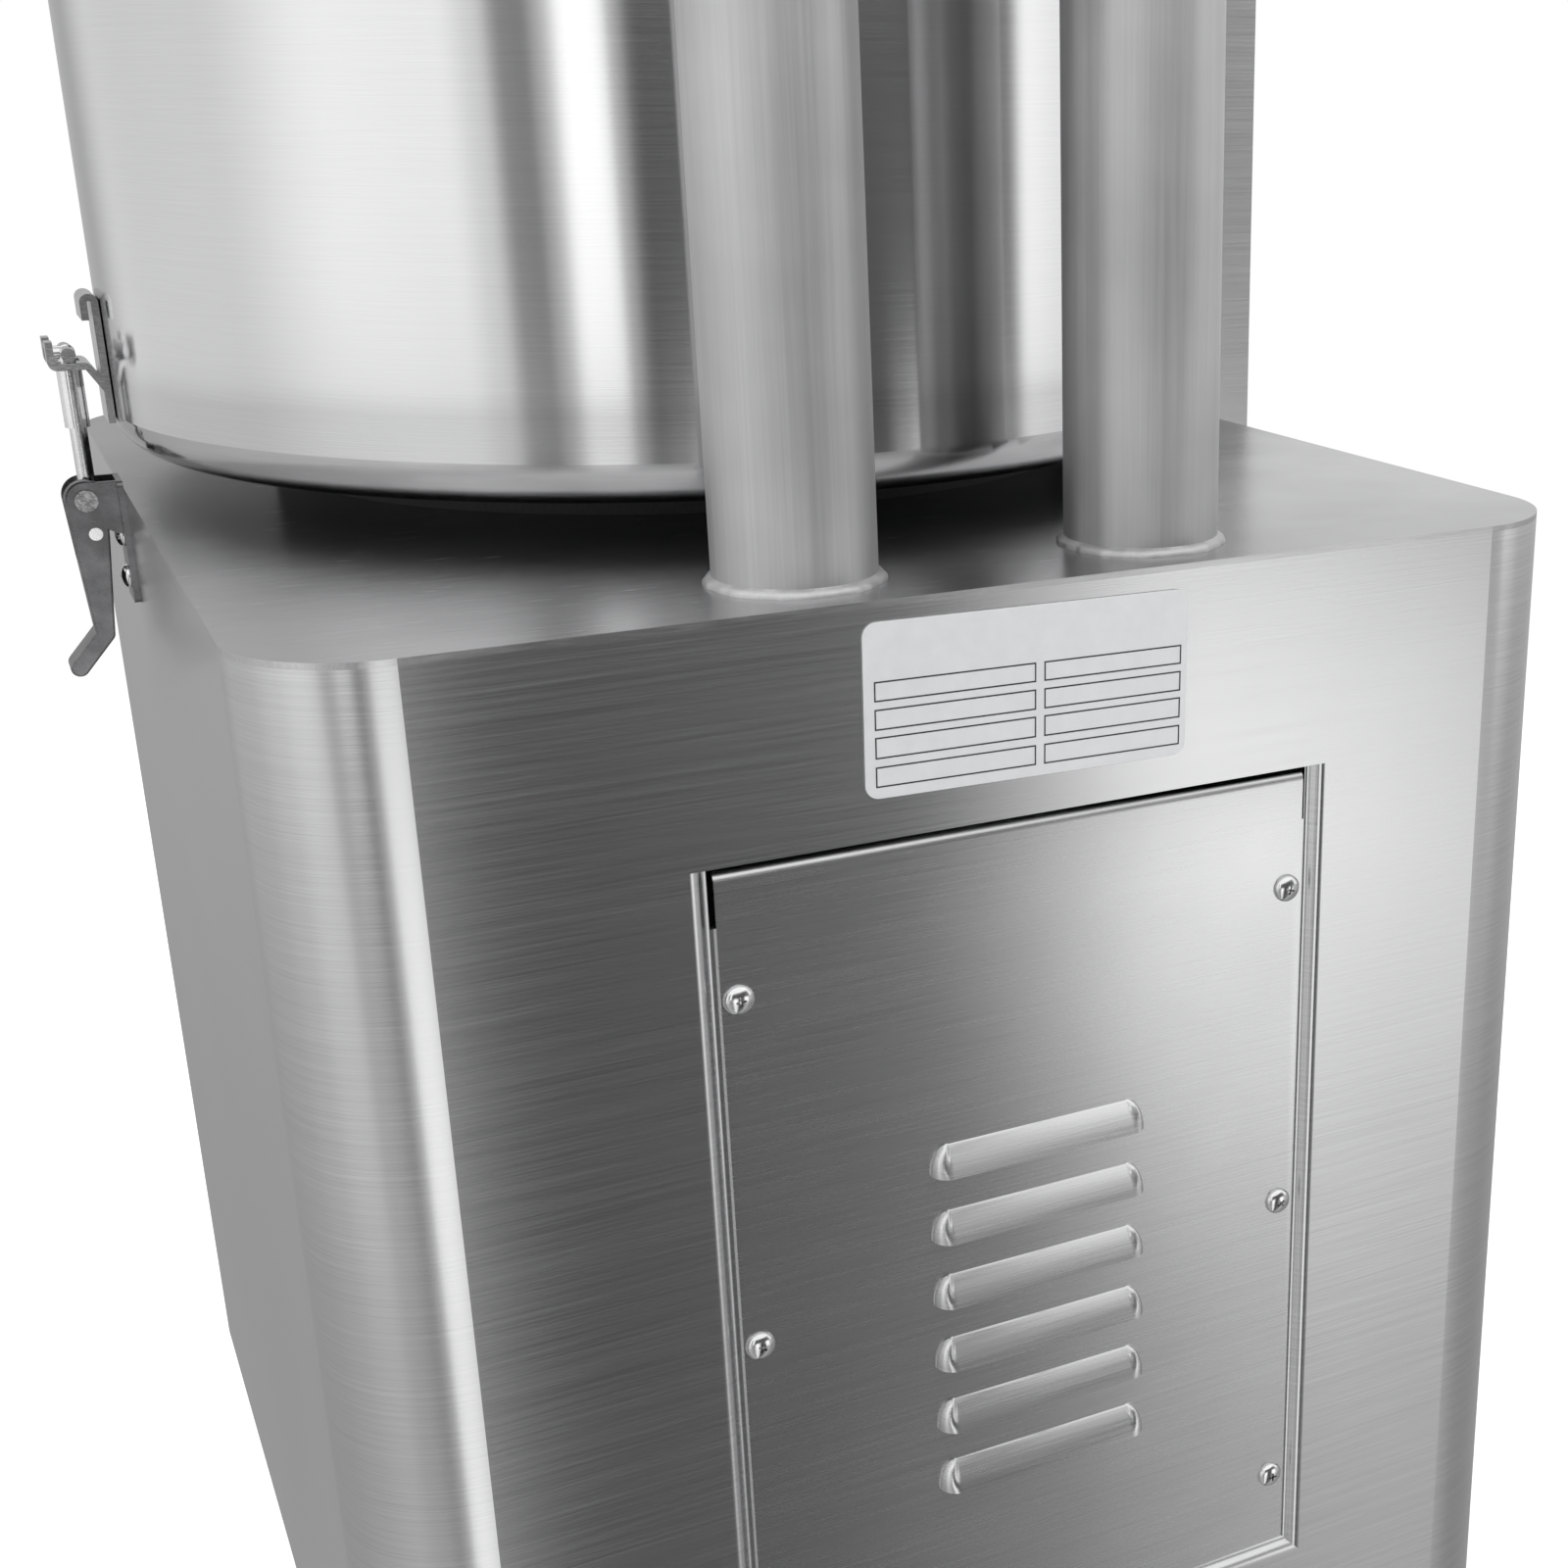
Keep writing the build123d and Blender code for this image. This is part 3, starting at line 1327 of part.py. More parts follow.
# Rod: a trunnion in the lever, a bar with a sleeve, and a T-head that pulls on the catch.
sleeve_z = cabinet_top_z + sleeve_start
tee_z = cabinet_top_z + tee_rise
with BuildPart() as latch_rod:
    with Locations((link[0], 0, link[1])):
        Cylinder(trunnion_radius, lever_width, rotation=(90, 0, 0))
        Cylinder(rod_eye_radius, rod_eye_width, rotation=(90, 0, 0))
        Cylinder(rod_radius, tee_z - link[1], align=(Align.CENTER, Align.CENTER, Align.MIN))
    with Locations((link[0], 0, sleeve_z)):
        Cylinder(sleeve_radius, sleeve_end - sleeve_start, align=(Align.CENTER, Align.CENTER, Align.MIN))
    with Locations((link[0], 0, tee_z)):
        Cylinder(tee_radius, tee_length, rotation=(90, 0, 0))
        Cylinder(tee_radius, tee_nose, rotation=(0, 90, 0), align=(Align.CENTER, Align.CENTER, Align.MIN))
        Sphere(rod_radius)
latch_rod.part.label = "latch_left_rod"
export_step(latch_rod.part, "parts/latch_left_rod.step")

# Catch: a strap on the drum wall with a curled top and a forked trough for the T-head.
catch_x = drum_radius + catch_sheet / 2
curl_x = drum_radius + catch_curl_out
catch_tip_x = link[0] + catch_tip_past
with BuildPart() as latch_catch:
    with BuildSketch(Plane.XZ):
        with BuildLine() as strap_line:
            FilletPolyline(
                (catch_x, cabinet_top_z + catch_foot_rise),
                (catch_x, cabinet_top_z + catch_top_rise),
                (curl_x, cabinet_top_z + catch_top_rise),
                (curl_x, cabinet_top_z + catch_top_rise - catch_curl_drop),
                radius=catch_bend,
            )
        trace(strap_line.line, line_width=catch_sheet)
    extrude(amount=catch_width / 2, both=True)
    with BuildSketch(Plane.XZ):
        with BuildLine() as trough_line:
            trough_z = tee_z - tee_radius - catch_sheet / 2 - rest_gap
            FilletPolyline(
                (catch_x, cabinet_top_z + catch_branch_rise),
                (link[0] - catch_trough_in, trough_z),
                (catch_tip_x, trough_z),
                (catch_tip_x, cabinet_top_z + catch_tip_rise),
                radius=catch_bend,
            )
        trace(trough_line.line, line_width=catch_sheet)
    extrude(amount=catch_width / 2, both=True)
    with BuildSketch(Plane.XY.offset(cabinet_top_z)):
        with Locations((link[0] - fork_past, 0)):
            Rectangle(fork_past + catch_tip_past + catch_sheet, fork_width, align=(Align.MIN, Align.CENTER))
    extrude(amount=catch_tip_rise + catch_sheet, mode=Mode.SUBTRACT)
    with Locations((0, 0, cabinet_top_z)):
        Cylinder(drum_radius, 4 * catch_top_rise, mode=Mode.SUBTRACT)
latch_catch.part.label = "latch_left_catch"
export_step(latch_catch.part, "parts/latch_left_catch.step")

for latch_piece in (latch_base, latch_lever, latch_rod, latch_catch):
    with BuildPart() as mirrored_piece:
        add(mirror(latch_piece.part, about=Plane.YZ))
    right_name = latch_piece.part.label.replace("left", "right")
    mirrored_piece.part.label = right_name
    export_step(mirrored_piece.part, f"parts/{right_name}.step")


# Stub rivets: each joins one ear and one cheek of a lever and leaves the channel's middle free.
with BuildPart() as rivet:
    with Locations((pivot[0], ear_inner + ear_sheet, pivot[1])):
        Cylinder(
            pivot_head_radius,
            pivot_head,
            rotation=(-90, 0, 0),
            align=(Align.CENTER, Align.CENTER, Align.MIN),
        )
    with Locations((pivot[0], lever_inner, pivot[1])):
        Cylinder(
            pivot_radius,
            ear_inner + ear_sheet + pivot_head / 2 - lever_inner,
            rotation=(-90, 0, 0),
            align=(Align.CENTER, Align.CENTER, Align.MIN),
        )

with BuildPart() as latch_rivets:
    for rivet_side in (rivet.part, mirror(rivet.part, about=Plane.XZ)):
        add(rivet_side)
        add(mirror(rivet_side, about=Plane.YZ))
latch_rivets.part.label = "latch_rivets"
export_step(latch_rivets.part, "parts/latch_rivets.step")


# Control box on the right-hand wall: open towards the operator, closed by the cover.
box_center_x = -(side_wall_x + box_depth / 2)
box_bottom_z = cabinet_top_z - box_below_top
box_top_z = box_bottom_z + box_height
box_center_z = (box_bottom_z + box_top_z) / 2
cover_front_y = -box_front - cover_sheet
with BuildPart() as control_box:
    with BuildSketch(Plane.XZ.offset(box_front)):
        with Locations((box_center_x, box_center_z)):
            RectangleRounded(box_depth, box_height, box_corner)
    extrude(amount=-box_length)
    offset(amount=-box_sheet, openings=control_box.faces().sort_by(Axis.Y)[0])
    with BuildSketch(Plane.XZ.offset(box_front)) as screw_blocks:
        with Locations((box_center_x, box_center_z)):
            with GridLocations(box_depth - 2 * cover_screw_inset, box_height - 2 * cover_screw_inset, 2, 2):
                Rectangle(2 * cover_screw_inset - box_sheet, 2 * cover_screw_inset - box_sheet)
            RectangleRounded(
                box_depth - box_sheet,
                box_height - box_sheet,
                box_corner - box_sheet / 2,
                mode=Mode.INTERSECT,
            )
            with GridLocations(box_depth - 2 * cover_screw_inset, box_height - 2 * cover_screw_inset, 2, 2):
                Circle(screw_radius, mode=Mode.SUBTRACT)
    extrude(amount=-screw_length)
control_box.part.label = "control_box"
export_step(control_box.part, "parts/control_box.step")

start_z = box_top_z - start_drop
stop_z = box_top_z - stop_drop
knob_z = box_top_z - knob_drop
neck_radius = button_radius + button_gap + neck_wall
with BuildPart() as control_cover:
    with BuildSketch(Plane.XZ.offset(box_front)):
        with Locations((box_center_x, box_center_z)):
            RectangleRounded(box_depth, box_height, box_corner)
            with GridLocations(box_depth - 2 * cover_screw_inset, box_height - 2 * cover_screw_inset, 2, 2):
                Circle(screw_radius + screw_clearance, mode=Mode.SUBTRACT)
        with Locations((box_center_x, start_z), (box_center_x, stop_z)):
            Circle(neck_radius, mode=Mode.SUBTRACT)
        with Locations((box_center_x, knob_z)):
            Circle(2 * knob_shaft_radius, mode=Mode.SUBTRACT)
    extrude(amount=cover_sheet)
control_cover.part.label = "control_cover"
export_step(control_cover.part, "parts/control_cover.step")


# Two push-button switches with round bezels and the timer behind the cover.
bezel_y = cover_front_y - bezel_height
with BuildPart() as control_switches:
    for switch_z in (start_z, stop_z):
        with BuildSketch(Plane.XY.offset(switch_z)):
            with BuildLine():
                Polyline(
                    (box_center_x + button_radius + button_gap, bezel_y),
                    (box_center_x + bezel_radius, bezel_y),
                    (box_center_x + bezel_radius, cover_front_y),
                    (box_center_x + neck_radius, cover_front_y),
                    (box_center_x + neck_radius, -box_front),
                    (box_center_x + switch_radius, -box_front),
                    (box_center_x + switch_radius, -box_front + switch_depth),
                    (box_center_x, -box_front + switch_depth),
                    (box_center_x, -box_front + switch_depth / 2),
                    (box_center_x + button_radius + button_gap, -box_front + switch_depth / 2),
                    close=True,
                )
            make_face()
        revolve(axis=Axis((box_center_x, 0, switch_z), (0, 1, 0)))
    with Locations((box_center_x, -box_front, knob_z)):
        Cylinder(
            timer_radius,
            timer_depth,
            rotation=(-90, 0, 0),
            align=(Align.CENTER, Align.CENTER, Align.MIN),
        )
        Cylinder(
            knob_shaft_radius + running_gap,
            timer_depth,
            rotation=(-90, 0, 0),
            mode=Mode.SUBTRACT,
        )
control_switches.part.label = "control_switches"
export_step(control_switches.part, "parts/control_switches.step")

button_back_y = -box_front + switch_depth / 2 - start_travel - stop_travel
with BuildPart() as start_button:
    with BuildSketch(Plane.XZ.offset(-button_back_y)):
        with Locations((box_center_x, start_z)):
            Circle(button_radius)
    extrude(amount=button_back_y - bezel_y + start_travel + button_edge)
    fillet(start_button.edges().group_by(Axis.Y)[0], button_edge)
start_button.part.label = "start_button"
export_step(start_button.part, "parts/start_button.step")

stop_cap_y = bezel_y - stop_travel - button_edge
with BuildPart() as stop_button:
    with BuildSketch(Plane.XZ.offset(-stop_cap_y)):
        with Locations((box_center_x, stop_z)):
            Circle(stop_cap_radius)
    extrude(amount=stop_cap_height)
    fillet(stop_button.edges().group_by(Axis.Y)[0], stop_cap_height / 2)
    with BuildSketch(Plane.XZ.offset(-button_back_y)):
        with Locations((box_center_x, stop_z)):
            Circle(button_radius)
    extrude(amount=button_back_y - stop_cap_y)
stop_button.part.label = "stop_button"
export_step(stop_button.part, "parts/stop_button.step")

knob_back_y = cover_front_y - knob_gap
with BuildPart() as timer_knob:
    with BuildSketch(Plane.XZ.offset(-knob_back_y)):
        with Locations((box_center_x, knob_z)):
            Circle(knob_radius)
    extrude(amount=knob_height / 2)
    with BuildSketch(Plane.XZ.offset(-knob_back_y)):
        with Locations((box_center_x, knob_z)):
            SlotOverall(2 * knob_radius - button_edge, knob_grip, rotation=90)
    extrude(amount=knob_height)
    fillet(timer_knob.edges().group_by(Axis.Y)[0], button_edge)
    with BuildSketch(Plane.XZ.offset(-knob_back_y)):
        with Locations((box_center_x, knob_z)):
            Circle(knob_shaft_radius)
    extrude(amount=-(knob_gap + cover_sheet + timer_depth / 3))
timer_knob.part.label = "timer_knob"
export_step(timer_knob.part, "parts/timer_knob.step")


# All pan-head screws: rear panel, latch plates and control cover.
with BuildPart() as pan_screws:
    for side in (1, -1):
        for screw_z in panel_screw_places:
            with Locations(Plane((rear_shift + side * screw_x, panel_face_y, screw_z), z_dir=(0, 1, 0))):
                add(pan_screw.part)
        for drop in latch_screw_drops:
            with Locations(Plane((side * plate_out_x, 0, cabinet_top_z - drop), z_dir=(side, 0, 0))):
                add(pan_screw.part)
        for end in (1, -1):
            cover_screw_x = box_center_x + side * (box_depth / 2 - cover_screw_inset)
            cover_screw_z = box_center_z + end * (box_height / 2 - cover_screw_inset)
            with Locations(Plane((cover_screw_x, cover_front_y, cover_screw_z), z_dir=(0, -1, 0))):
                add(pan_screw.part)
pan_screws.part.label = "pan_screws"
export_step(pan_screws.part, "parts/pan_screws.step")


# Cable gland low on the right-hand wall: a nut and dome outside, a lock nut inside.
gland_z = foot_height + gland_rise
with BuildPart() as cable_gland:
    with BuildSketch(Plane.YZ.offset(-side_wall_x)):
        with Locations((gland_back, gland_z)):
            RegularPolygon(gland_nut_radius, 6)
    extrude(amount=-gland_nut_length)
    with BuildSketch(Plane.YZ.offset(-side_wall_x + cabinet_sheet)):
        with Locations((gland_back, gland_z)):
            RegularPolygon(gland_nut_radius, 6)
    extrude(amount=gland_nut_length / 2)
    with Locations((-side_wall_x - gland_nut_length - gland_dome_length, gland_back, gland_z)):
        Cylinder(
            gland_dome_radius,
            gland_dome_length,
            rotation=(0, 90, 0),
            align=(Align.CENTER, Align.CENTER, Align.MIN),
        )
    fillet(cable_gland.edges().filter_by(GeomType.CIRCLE).group_by(Axis.X)[0], gland_edge)
    with Locations((-side_wall_x, gland_back, gland_z)):
        Cylinder(
            gland_thread_radius,
            gland_tail,
            rotation=(0, 90, 0),
            align=(Align.CENTER, Align.CENTER, Align.MIN),
        )
        Cylinder(
            gland_bore_radius,
            4 * (gland_tail + gland_nut_length),
            rotation=(0, 90, 0),
            mode=Mode.SUBTRACT,
        )
cable_gland.part.label = "cable_gland"
export_step(cable_gland.part, "parts/cable_gland.step")


# Waste pipe: down from the drum floor, round one bend and out through the right-hand wall.
with BuildPart() as waste_pipe:
    with BuildLine() as waste_path:
        FilletPolyline(
            (-waste_x, waste_y, drum_z),
            (-waste_x, waste_y, waste_rise),
            (-side_wall_x - waste_reach, waste_y, waste_rise),
            radius=waste_bend,
        )
    with BuildSketch(Plane((-waste_x, waste_y, drum_z), z_dir=(0, 0, -1))):
        Circle(waste_radius)
        Circle(waste_radius - waste_wall, mode=Mode.SUBTRACT)
    sweep(path=waste_path.line)
    with BuildSketch(Plane((-waste_x, waste_y, drum_z), z_dir=(0, 0, -1))):
        Circle(waste_radius + waste_flange_width)
        Circle(waste_radius - waste_wall, mode=Mode.SUBTRACT)
    extrude(amount=waste_flange_height)
    with BuildSketch(Plane.YZ.offset(-side_wall_x)):
        with Locations((waste_y, waste_rise)):
            Circle(waste_radius + waste_collar_height)
            Circle(waste_radius, mode=Mode.SUBTRACT)
    extrude(amount=-waste_collar_width)
waste_pipe.part.label = "waste_pipe"
export_step(waste_pipe.part, "parts/waste_pipe.step")


# Water inlet through the drum wall, with a hexagon flange, a valve body and a spray end inside.
inlet_z = drum_top_z - inlet_drop
inlet_inner_x = drum_inner_radius - inlet_nose
inlet_outer_x = drum_radius + inlet_reach
valve_x = drum_radius + valve_start + valve_body_length / 2
valve_neck_z = inlet_z + valve_neck_rise
with BuildPart() as water_inlet:
    with Locations((inlet_inner_x, 0, inlet_z)):
        Cylinder(
            inlet_radius,
            inlet_outer_x - inlet_inner_x,
            rotation=(0, 90, 0),
            align=(Align.CENTER, Align.CENTER, Align.MIN),
        )
    with BuildSketch(Plane.YZ.offset(drum_radius)):
        with Locations((0, inlet_z)):
            RegularPolygon(inlet_hex_radius, 6)
    extrude(amount=inlet_hex_length)
    with Locations((valve_x, 0, inlet_z)):
        Cylinder(valve_body_radius, valve_body_length, rotation=(0, 90, 0))
    fillet(water_inlet.edges().filter_by(GeomType.CIRCLE).group_by(SortBy.RADIUS)[-1], button_edge)
    with Locations((valve_x, 0, inlet_z)):
        Cylinder(valve_neck_radius, valve_neck_rise, align=(Align.CENTER, Align.CENTER, Align.MIN))
    with Locations((0, 0, inlet_z)):
        Cylinder(inlet_bore_radius, 4 * inlet_outer_x, rotation=(0, 90, 0), mode=Mode.SUBTRACT)
    with Locations((valve_x, 0, valve_neck_z)):
        Cylinder(
            valve_stem_radius + running_gap,
            valve_neck_rise - inlet_bore_radius - valve_plug,
            align=(Align.CENTER, Align.CENTER, Align.MAX),
            mode=Mode.SUBTRACT,
        )
water_inlet.part.label = "water_inlet"
export_step(water_inlet.part, "parts/water_inlet.step")

# Valve lever: a flat handle on a stem; it points to the operator when the water is off.
lever_z = valve_neck_z + valve_lever_gap
with BuildPart() as valve_lever:
    with BuildSketch(Plane.XY.offset(lever_z)):
        with Locations((valve_x, -valve_lever_length / 2 + valve_lever_width / 2)):
            SlotOverall(valve_lever_length, valve_lever_width, rotation=90)
    extrude(amount=valve_lever_sheet)
    with BuildSketch(Plane.XY.offset(lever_z + valve_lever_sheet)):
        with Locations((valve_x, 0)):
            RegularPolygon(valve_lever_width / 2 - valve_lever_gap, 6)
    extrude(amount=valve_lever_sheet)
    with BuildSketch(Plane.XY.offset(lever_z)):
        with Locations((valve_x, 0)):
            Circle(valve_stem_radius)
    extrude(amount=-(valve_neck_rise - inlet_bore_radius - 2 * valve_plug))
valve_lever.part.label = "valve_lever"
export_step(valve_lever.part, "parts/valve_lever.step")
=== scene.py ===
# Potato peeling machine: camera, studio, finishes, and the plate, screws, posts and louvred panel around the
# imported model
import math

import bmesh
import bpy
from mathutils import Matrix, Vector


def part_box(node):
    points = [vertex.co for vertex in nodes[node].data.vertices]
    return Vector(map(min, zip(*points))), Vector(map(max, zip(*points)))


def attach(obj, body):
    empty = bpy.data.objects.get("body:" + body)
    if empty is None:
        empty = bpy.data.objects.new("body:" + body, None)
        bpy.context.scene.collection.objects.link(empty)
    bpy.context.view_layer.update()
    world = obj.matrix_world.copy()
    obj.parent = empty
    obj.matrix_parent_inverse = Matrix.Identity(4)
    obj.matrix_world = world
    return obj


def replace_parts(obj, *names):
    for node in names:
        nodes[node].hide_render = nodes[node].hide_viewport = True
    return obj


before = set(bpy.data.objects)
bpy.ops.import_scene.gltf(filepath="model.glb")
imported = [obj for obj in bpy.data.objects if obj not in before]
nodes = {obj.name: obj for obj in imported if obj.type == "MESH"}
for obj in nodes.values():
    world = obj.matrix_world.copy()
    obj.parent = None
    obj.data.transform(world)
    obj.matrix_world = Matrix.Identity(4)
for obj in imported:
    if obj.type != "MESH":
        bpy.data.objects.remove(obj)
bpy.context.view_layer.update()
print("frame loaded with", len(nodes), "nodes")


viewPoint = {
    "place": (0.27804, 0.88274, 0.63824),  # metres, behind the machine and above the cabinet
    "yaw": 28.43,                          # degrees from straight ahead, turned towards -X
    "pitch": 19.58,                        # degrees down
    "focalPixels": 2199.4,
    "frameSize": 1600,
    "axisPoint": (1132.2, 846.5),          # where the lens axis meets the frame, from the top left
    "sensorWidth": 36,                     # millimetres
    "nearest": 0.01,
}


def placeCamera(v):
    yaw, pitch = math.radians(v["yaw"]), math.radians(v["pitch"])
    level = math.cos(pitch)
    ahead = Vector((-math.sin(yaw) * level, -math.cos(yaw) * level, -math.sin(pitch)))
    right = ahead.cross(Vector((0, 0, 1))).normalized()
    up = right.cross(ahead)
    data = bpy.data.cameras.new("photoCamera")
    camera = bpy.data.objects.new("photoCamera", data)
    bpy.context.scene.collection.objects.link(camera)
    turn = Matrix((right, up, -ahead)).transposed().to_4x4()
    camera.matrix_world = Matrix.Translation(v["place"]) @ turn
    data.sensor_fit = "HORIZONTAL"
    data.sensor_width = v["sensorWidth"]
    data.lens = v["sensorWidth"] * v["focalPixels"] / v["frameSize"]
    data.shift_x = 0.5 - v["axisPoint"][0] / v["frameSize"]
    data.shift_y = v["axisPoint"][1] / v["frameSize"] - 0.5
    data.clip_start = v["nearest"]
    bpy.context.scene.camera = camera


placeCamera(viewPoint)
print("camera placed")


def newMaterial(name):
    mat = bpy.data.materials.new(name)
    mat.use_nodes = True
    mat.node_tree.nodes.clear()
    return mat


def addNode(mat, kind, settings=None, inputs=None):
    node = mat.node_tree.nodes.new(kind)
    for key, value in (settings or {}).items():
        setattr(node, key, value)
    for key, value in (inputs or {}).items():
        if isinstance(value, bpy.types.NodeSocket):
            mat.node_tree.links.new(value, node.inputs[key])
        else:
            node.inputs[key].default_value = value
    return node


def rampNode(mat, source, stops, easing="LINEAR"):
    ramp = addNode(mat, "ShaderNodeValToRGB", inputs={"Fac": source})
    ramp.color_ramp.interpolation = easing
    elements = ramp.color_ramp.elements
    elements[0].position, elements[1].position = stops[0][0], stops[-1][0]
    for place, value in stops[1:-1]:
        elements.new(place)
    for element, (place, value) in zip(elements, stops):
        element.position = place
        element.color = (*value, 1) if isinstance(value, tuple) else (value, value, value, 1)
    return ramp.outputs["Color"]


def placeOn(mat):
    return addNode(mat, "ShaderNodeTexCoord").outputs["Object"]


def stretchedPlace(mat, scale):
    mapping = addNode(mat, "ShaderNodeMapping", inputs={"Vector": placeOn(mat), "Scale": scale})
    return mapping.outputs["Vector"]


def noiseAt(mat, scale, size, detail, rough):
    noise = addNode(mat, "ShaderNodeTexNoise", inputs={
        "Vector": stretchedPlace(mat, scale), "Scale": size, "Detail": detail, "Roughness": rough})
    return noise.outputs["Fac"]


def lengthOf(mat, vector):
    return addNode(mat, "ShaderNodeVectorMath", {"operation": "LENGTH"}, {0: vector}).outputs["Value"]


def spanNode(mat, value, fromSpan, toSpan=(0.0, 1.0), easing="LINEAR"):
    return addNode(mat, "ShaderNodeMapRange", {"interpolation_type": easing}, {
        "Value": value, "From Min": fromSpan[0], "From Max": fromSpan[1],
        "To Min": toSpan[0], "To Max": toSpan[1]}).outputs["Result"]


def mathNode(mat, operation, a, b=0.0):
    node = addNode(mat, "ShaderNodeMath", {"operation": operation})
    for socket, value in zip(node.inputs, (a, b)):
        if isinstance(value, bpy.types.NodeSocket):
            mat.node_tree.links.new(value, socket)
        else:
            socket.default_value = value
    return node.outputs[0]


def mixColours(mat, factor, first, second, blend="MIX"):
    return addNode(mat, "ShaderNodeMix", {"data_type": "RGBA", "blend_type": blend}, {
        0: factor, 6: first, 7: second}).outputs[2]


def shaderOut(mat, shader):
    addNode(mat, "ShaderNodeOutputMaterial", inputs={"Surface": shader})
    return mat


# Degrees from +Y towards +X, and how bright the studio looks there in the metal: above, level and below
tentHigh = [(-180, 0.55), (-150, 0.85), (-110, 0.8), (-70, 0.9), (-58, 1.3), (-49, 1.5), (-45, 0.3),
            (-22, 0.12), (12, 0.12), (23, 0.12), (26, 0.6), (29, 1.75), (34, 1.8), (38, 0.7), (41, 0.3),
            (45, 0.35), (49, 1.0), (56, 1.35), (76, 1.4), (105, 1.0), (138, 0.95), (158, 0.5), (180, 0.5)]
tentLevel = [(-180, 0.45), (-120, 0.5), (-70, 0.5), (-50, 0.65), (-42, 0.75), (-36, 1.5), (-26, 2.0),
             (-22, 1.0), (-18, 0.15), (-3, 0.07), (-1, 0.3), (1, 1.0), (7, 1.75), (14, 1.6), (19, 0.7),
             (24, 0.35), (31, 0.4), (40, 0.65), (50, 0.95), (62, 0.95), (80, 0.75), (105, 0.65), (125, 0.6),
             (160, 0.42), (180, 0.42)]
tentLow = [(-180, 0.38), (-110, 0.4), (-60, 0.35), (-46, 0.4), (-39, 0.58), (-34, 0.62), (-28, 0.48),
           (-20, 0.22), (-10, 0.12), (-3, 0.07), (0, 0.4), (3, 1.1), (9, 1.4), (14, 1.25), (19, 0.55),
           (25, 0.4), (36, 0.5), (52, 0.58), (80, 0.5), (110, 0.45), (160, 0.38), (180, 0.38)]
studio = {
    "tentRadius": 1.6,
    "tentFloor": -2.4,
    "tentTop": 2.6,
    "tentBrightest": 2.0,
    "lowToLevel": (-0.55, -0.02),  # heights between which one row of the tent turns into the next
    "levelToHigh": (0.2, 0.36),
    "ceilingFrom": (1.3, 1.7),
    "ceilingLean": 0.35,           # the ceiling comes lower towards +Y
    "ceiling": 1.45,
    "ambient": 0.55,
    "floorSize": 9.0,
    "paperGrain": 300,
    "paperNoise": (2, 0.6),        # detail and roughness
    "grainSpan": (0.3, 0.7),       # noise values at which the paper is darkest and lightest
    "paperTones": (0.8, 0.83),
    "floorGlow": 0.62,             # lifts the paper to white, so that only the machine's shadow stays grey
    "whiteSpan": (0.8, 1.9),       # metres from the machine over which the floor fades to pure white
    "lampAim": (0, 0.05, 0.45),
}


def meshFrom(bm, name):
    mesh = bpy.data.meshes.new(name)
    bm.to_mesh(mesh)
    bm.free()
    return mesh


def addStage(obj):
    bpy.context.scene.collection.objects.link(obj)
    return obj


def seenDirectly(mat):
    path = addNode(mat, "ShaderNodeLightPath").outputs
    mirrored = mathNode(mat, "MAXIMUM", path["Is Camera Ray"], path["Is Glossy Ray"])
    return mathNode(mat, "MAXIMUM", mirrored, path["Is Transmission Ray"])


def whiteGlow(mat, kind, strength):
    return addNode(mat, kind, inputs={"Color": (1, 1, 1, 1), "Strength": strength}).outputs[0]


def mixShaders(mat, share, first, second):
    return addNode(mat, "ShaderNodeMixShader", inputs={0: share, 1: first, 2: second}).outputs[0]


def makeWorld(s):
    world = bpy.data.worlds.new("studioWorld")
    world.use_nodes = True
    world.node_tree.nodes.clear()
    ambient = whiteGlow(world, "ShaderNodeBackground", s["ambient"])
    white = whiteGlow(world, "ShaderNodeBackground", 1.0)
    surface = mixShaders(world, seenDirectly(world), ambient, white)
    addNode(world, "ShaderNodeOutputWorld", inputs={"Surface": surface})
    bpy.context.scene.world = world


def makeFloor(s):
    bm = bmesh.new()
    bmesh.ops.create_grid(bm, x_segments=1, y_segments=1, size=s["floorSize"] / 2)
    mesh = meshFrom(bm, "studioFloor")
    mat = newMaterial("palePaperFloor")
    grain = noiseAt(mat, (1, 1, 1), s["paperGrain"], *s["paperNoise"])
    tone = rampNode(mat, grain, list(zip(s["grainSpan"], s["paperTones"])))
    paper = addNode(mat, "ShaderNodeBsdfDiffuse", inputs={"Color": tone}).outputs[0]
    glow = whiteGlow(mat, "ShaderNodeEmission", s["floorGlow"])
    both = addNode(mat, "ShaderNodeAddShader", inputs={0: paper, 1: glow}).outputs[0]
    white = whiteGlow(mat, "ShaderNodeEmission", 1.0)
    fade = spanNode(mat, lengthOf(mat, placeOn(mat)), s["whiteSpan"], easing="SMOOTHSTEP")
    sheet = mixShaders(mat, fade, both, white)
    shaderOut(mat, mixShaders(mat, seenDirectly(mat), paper, sheet))
    mesh.materials.append(mat)
    floor = addStage(bpy.data.objects.new("studioFloor", mesh))
    floor.visible_glossy = False  # the metal sees the tent, which carries the floor's share of light


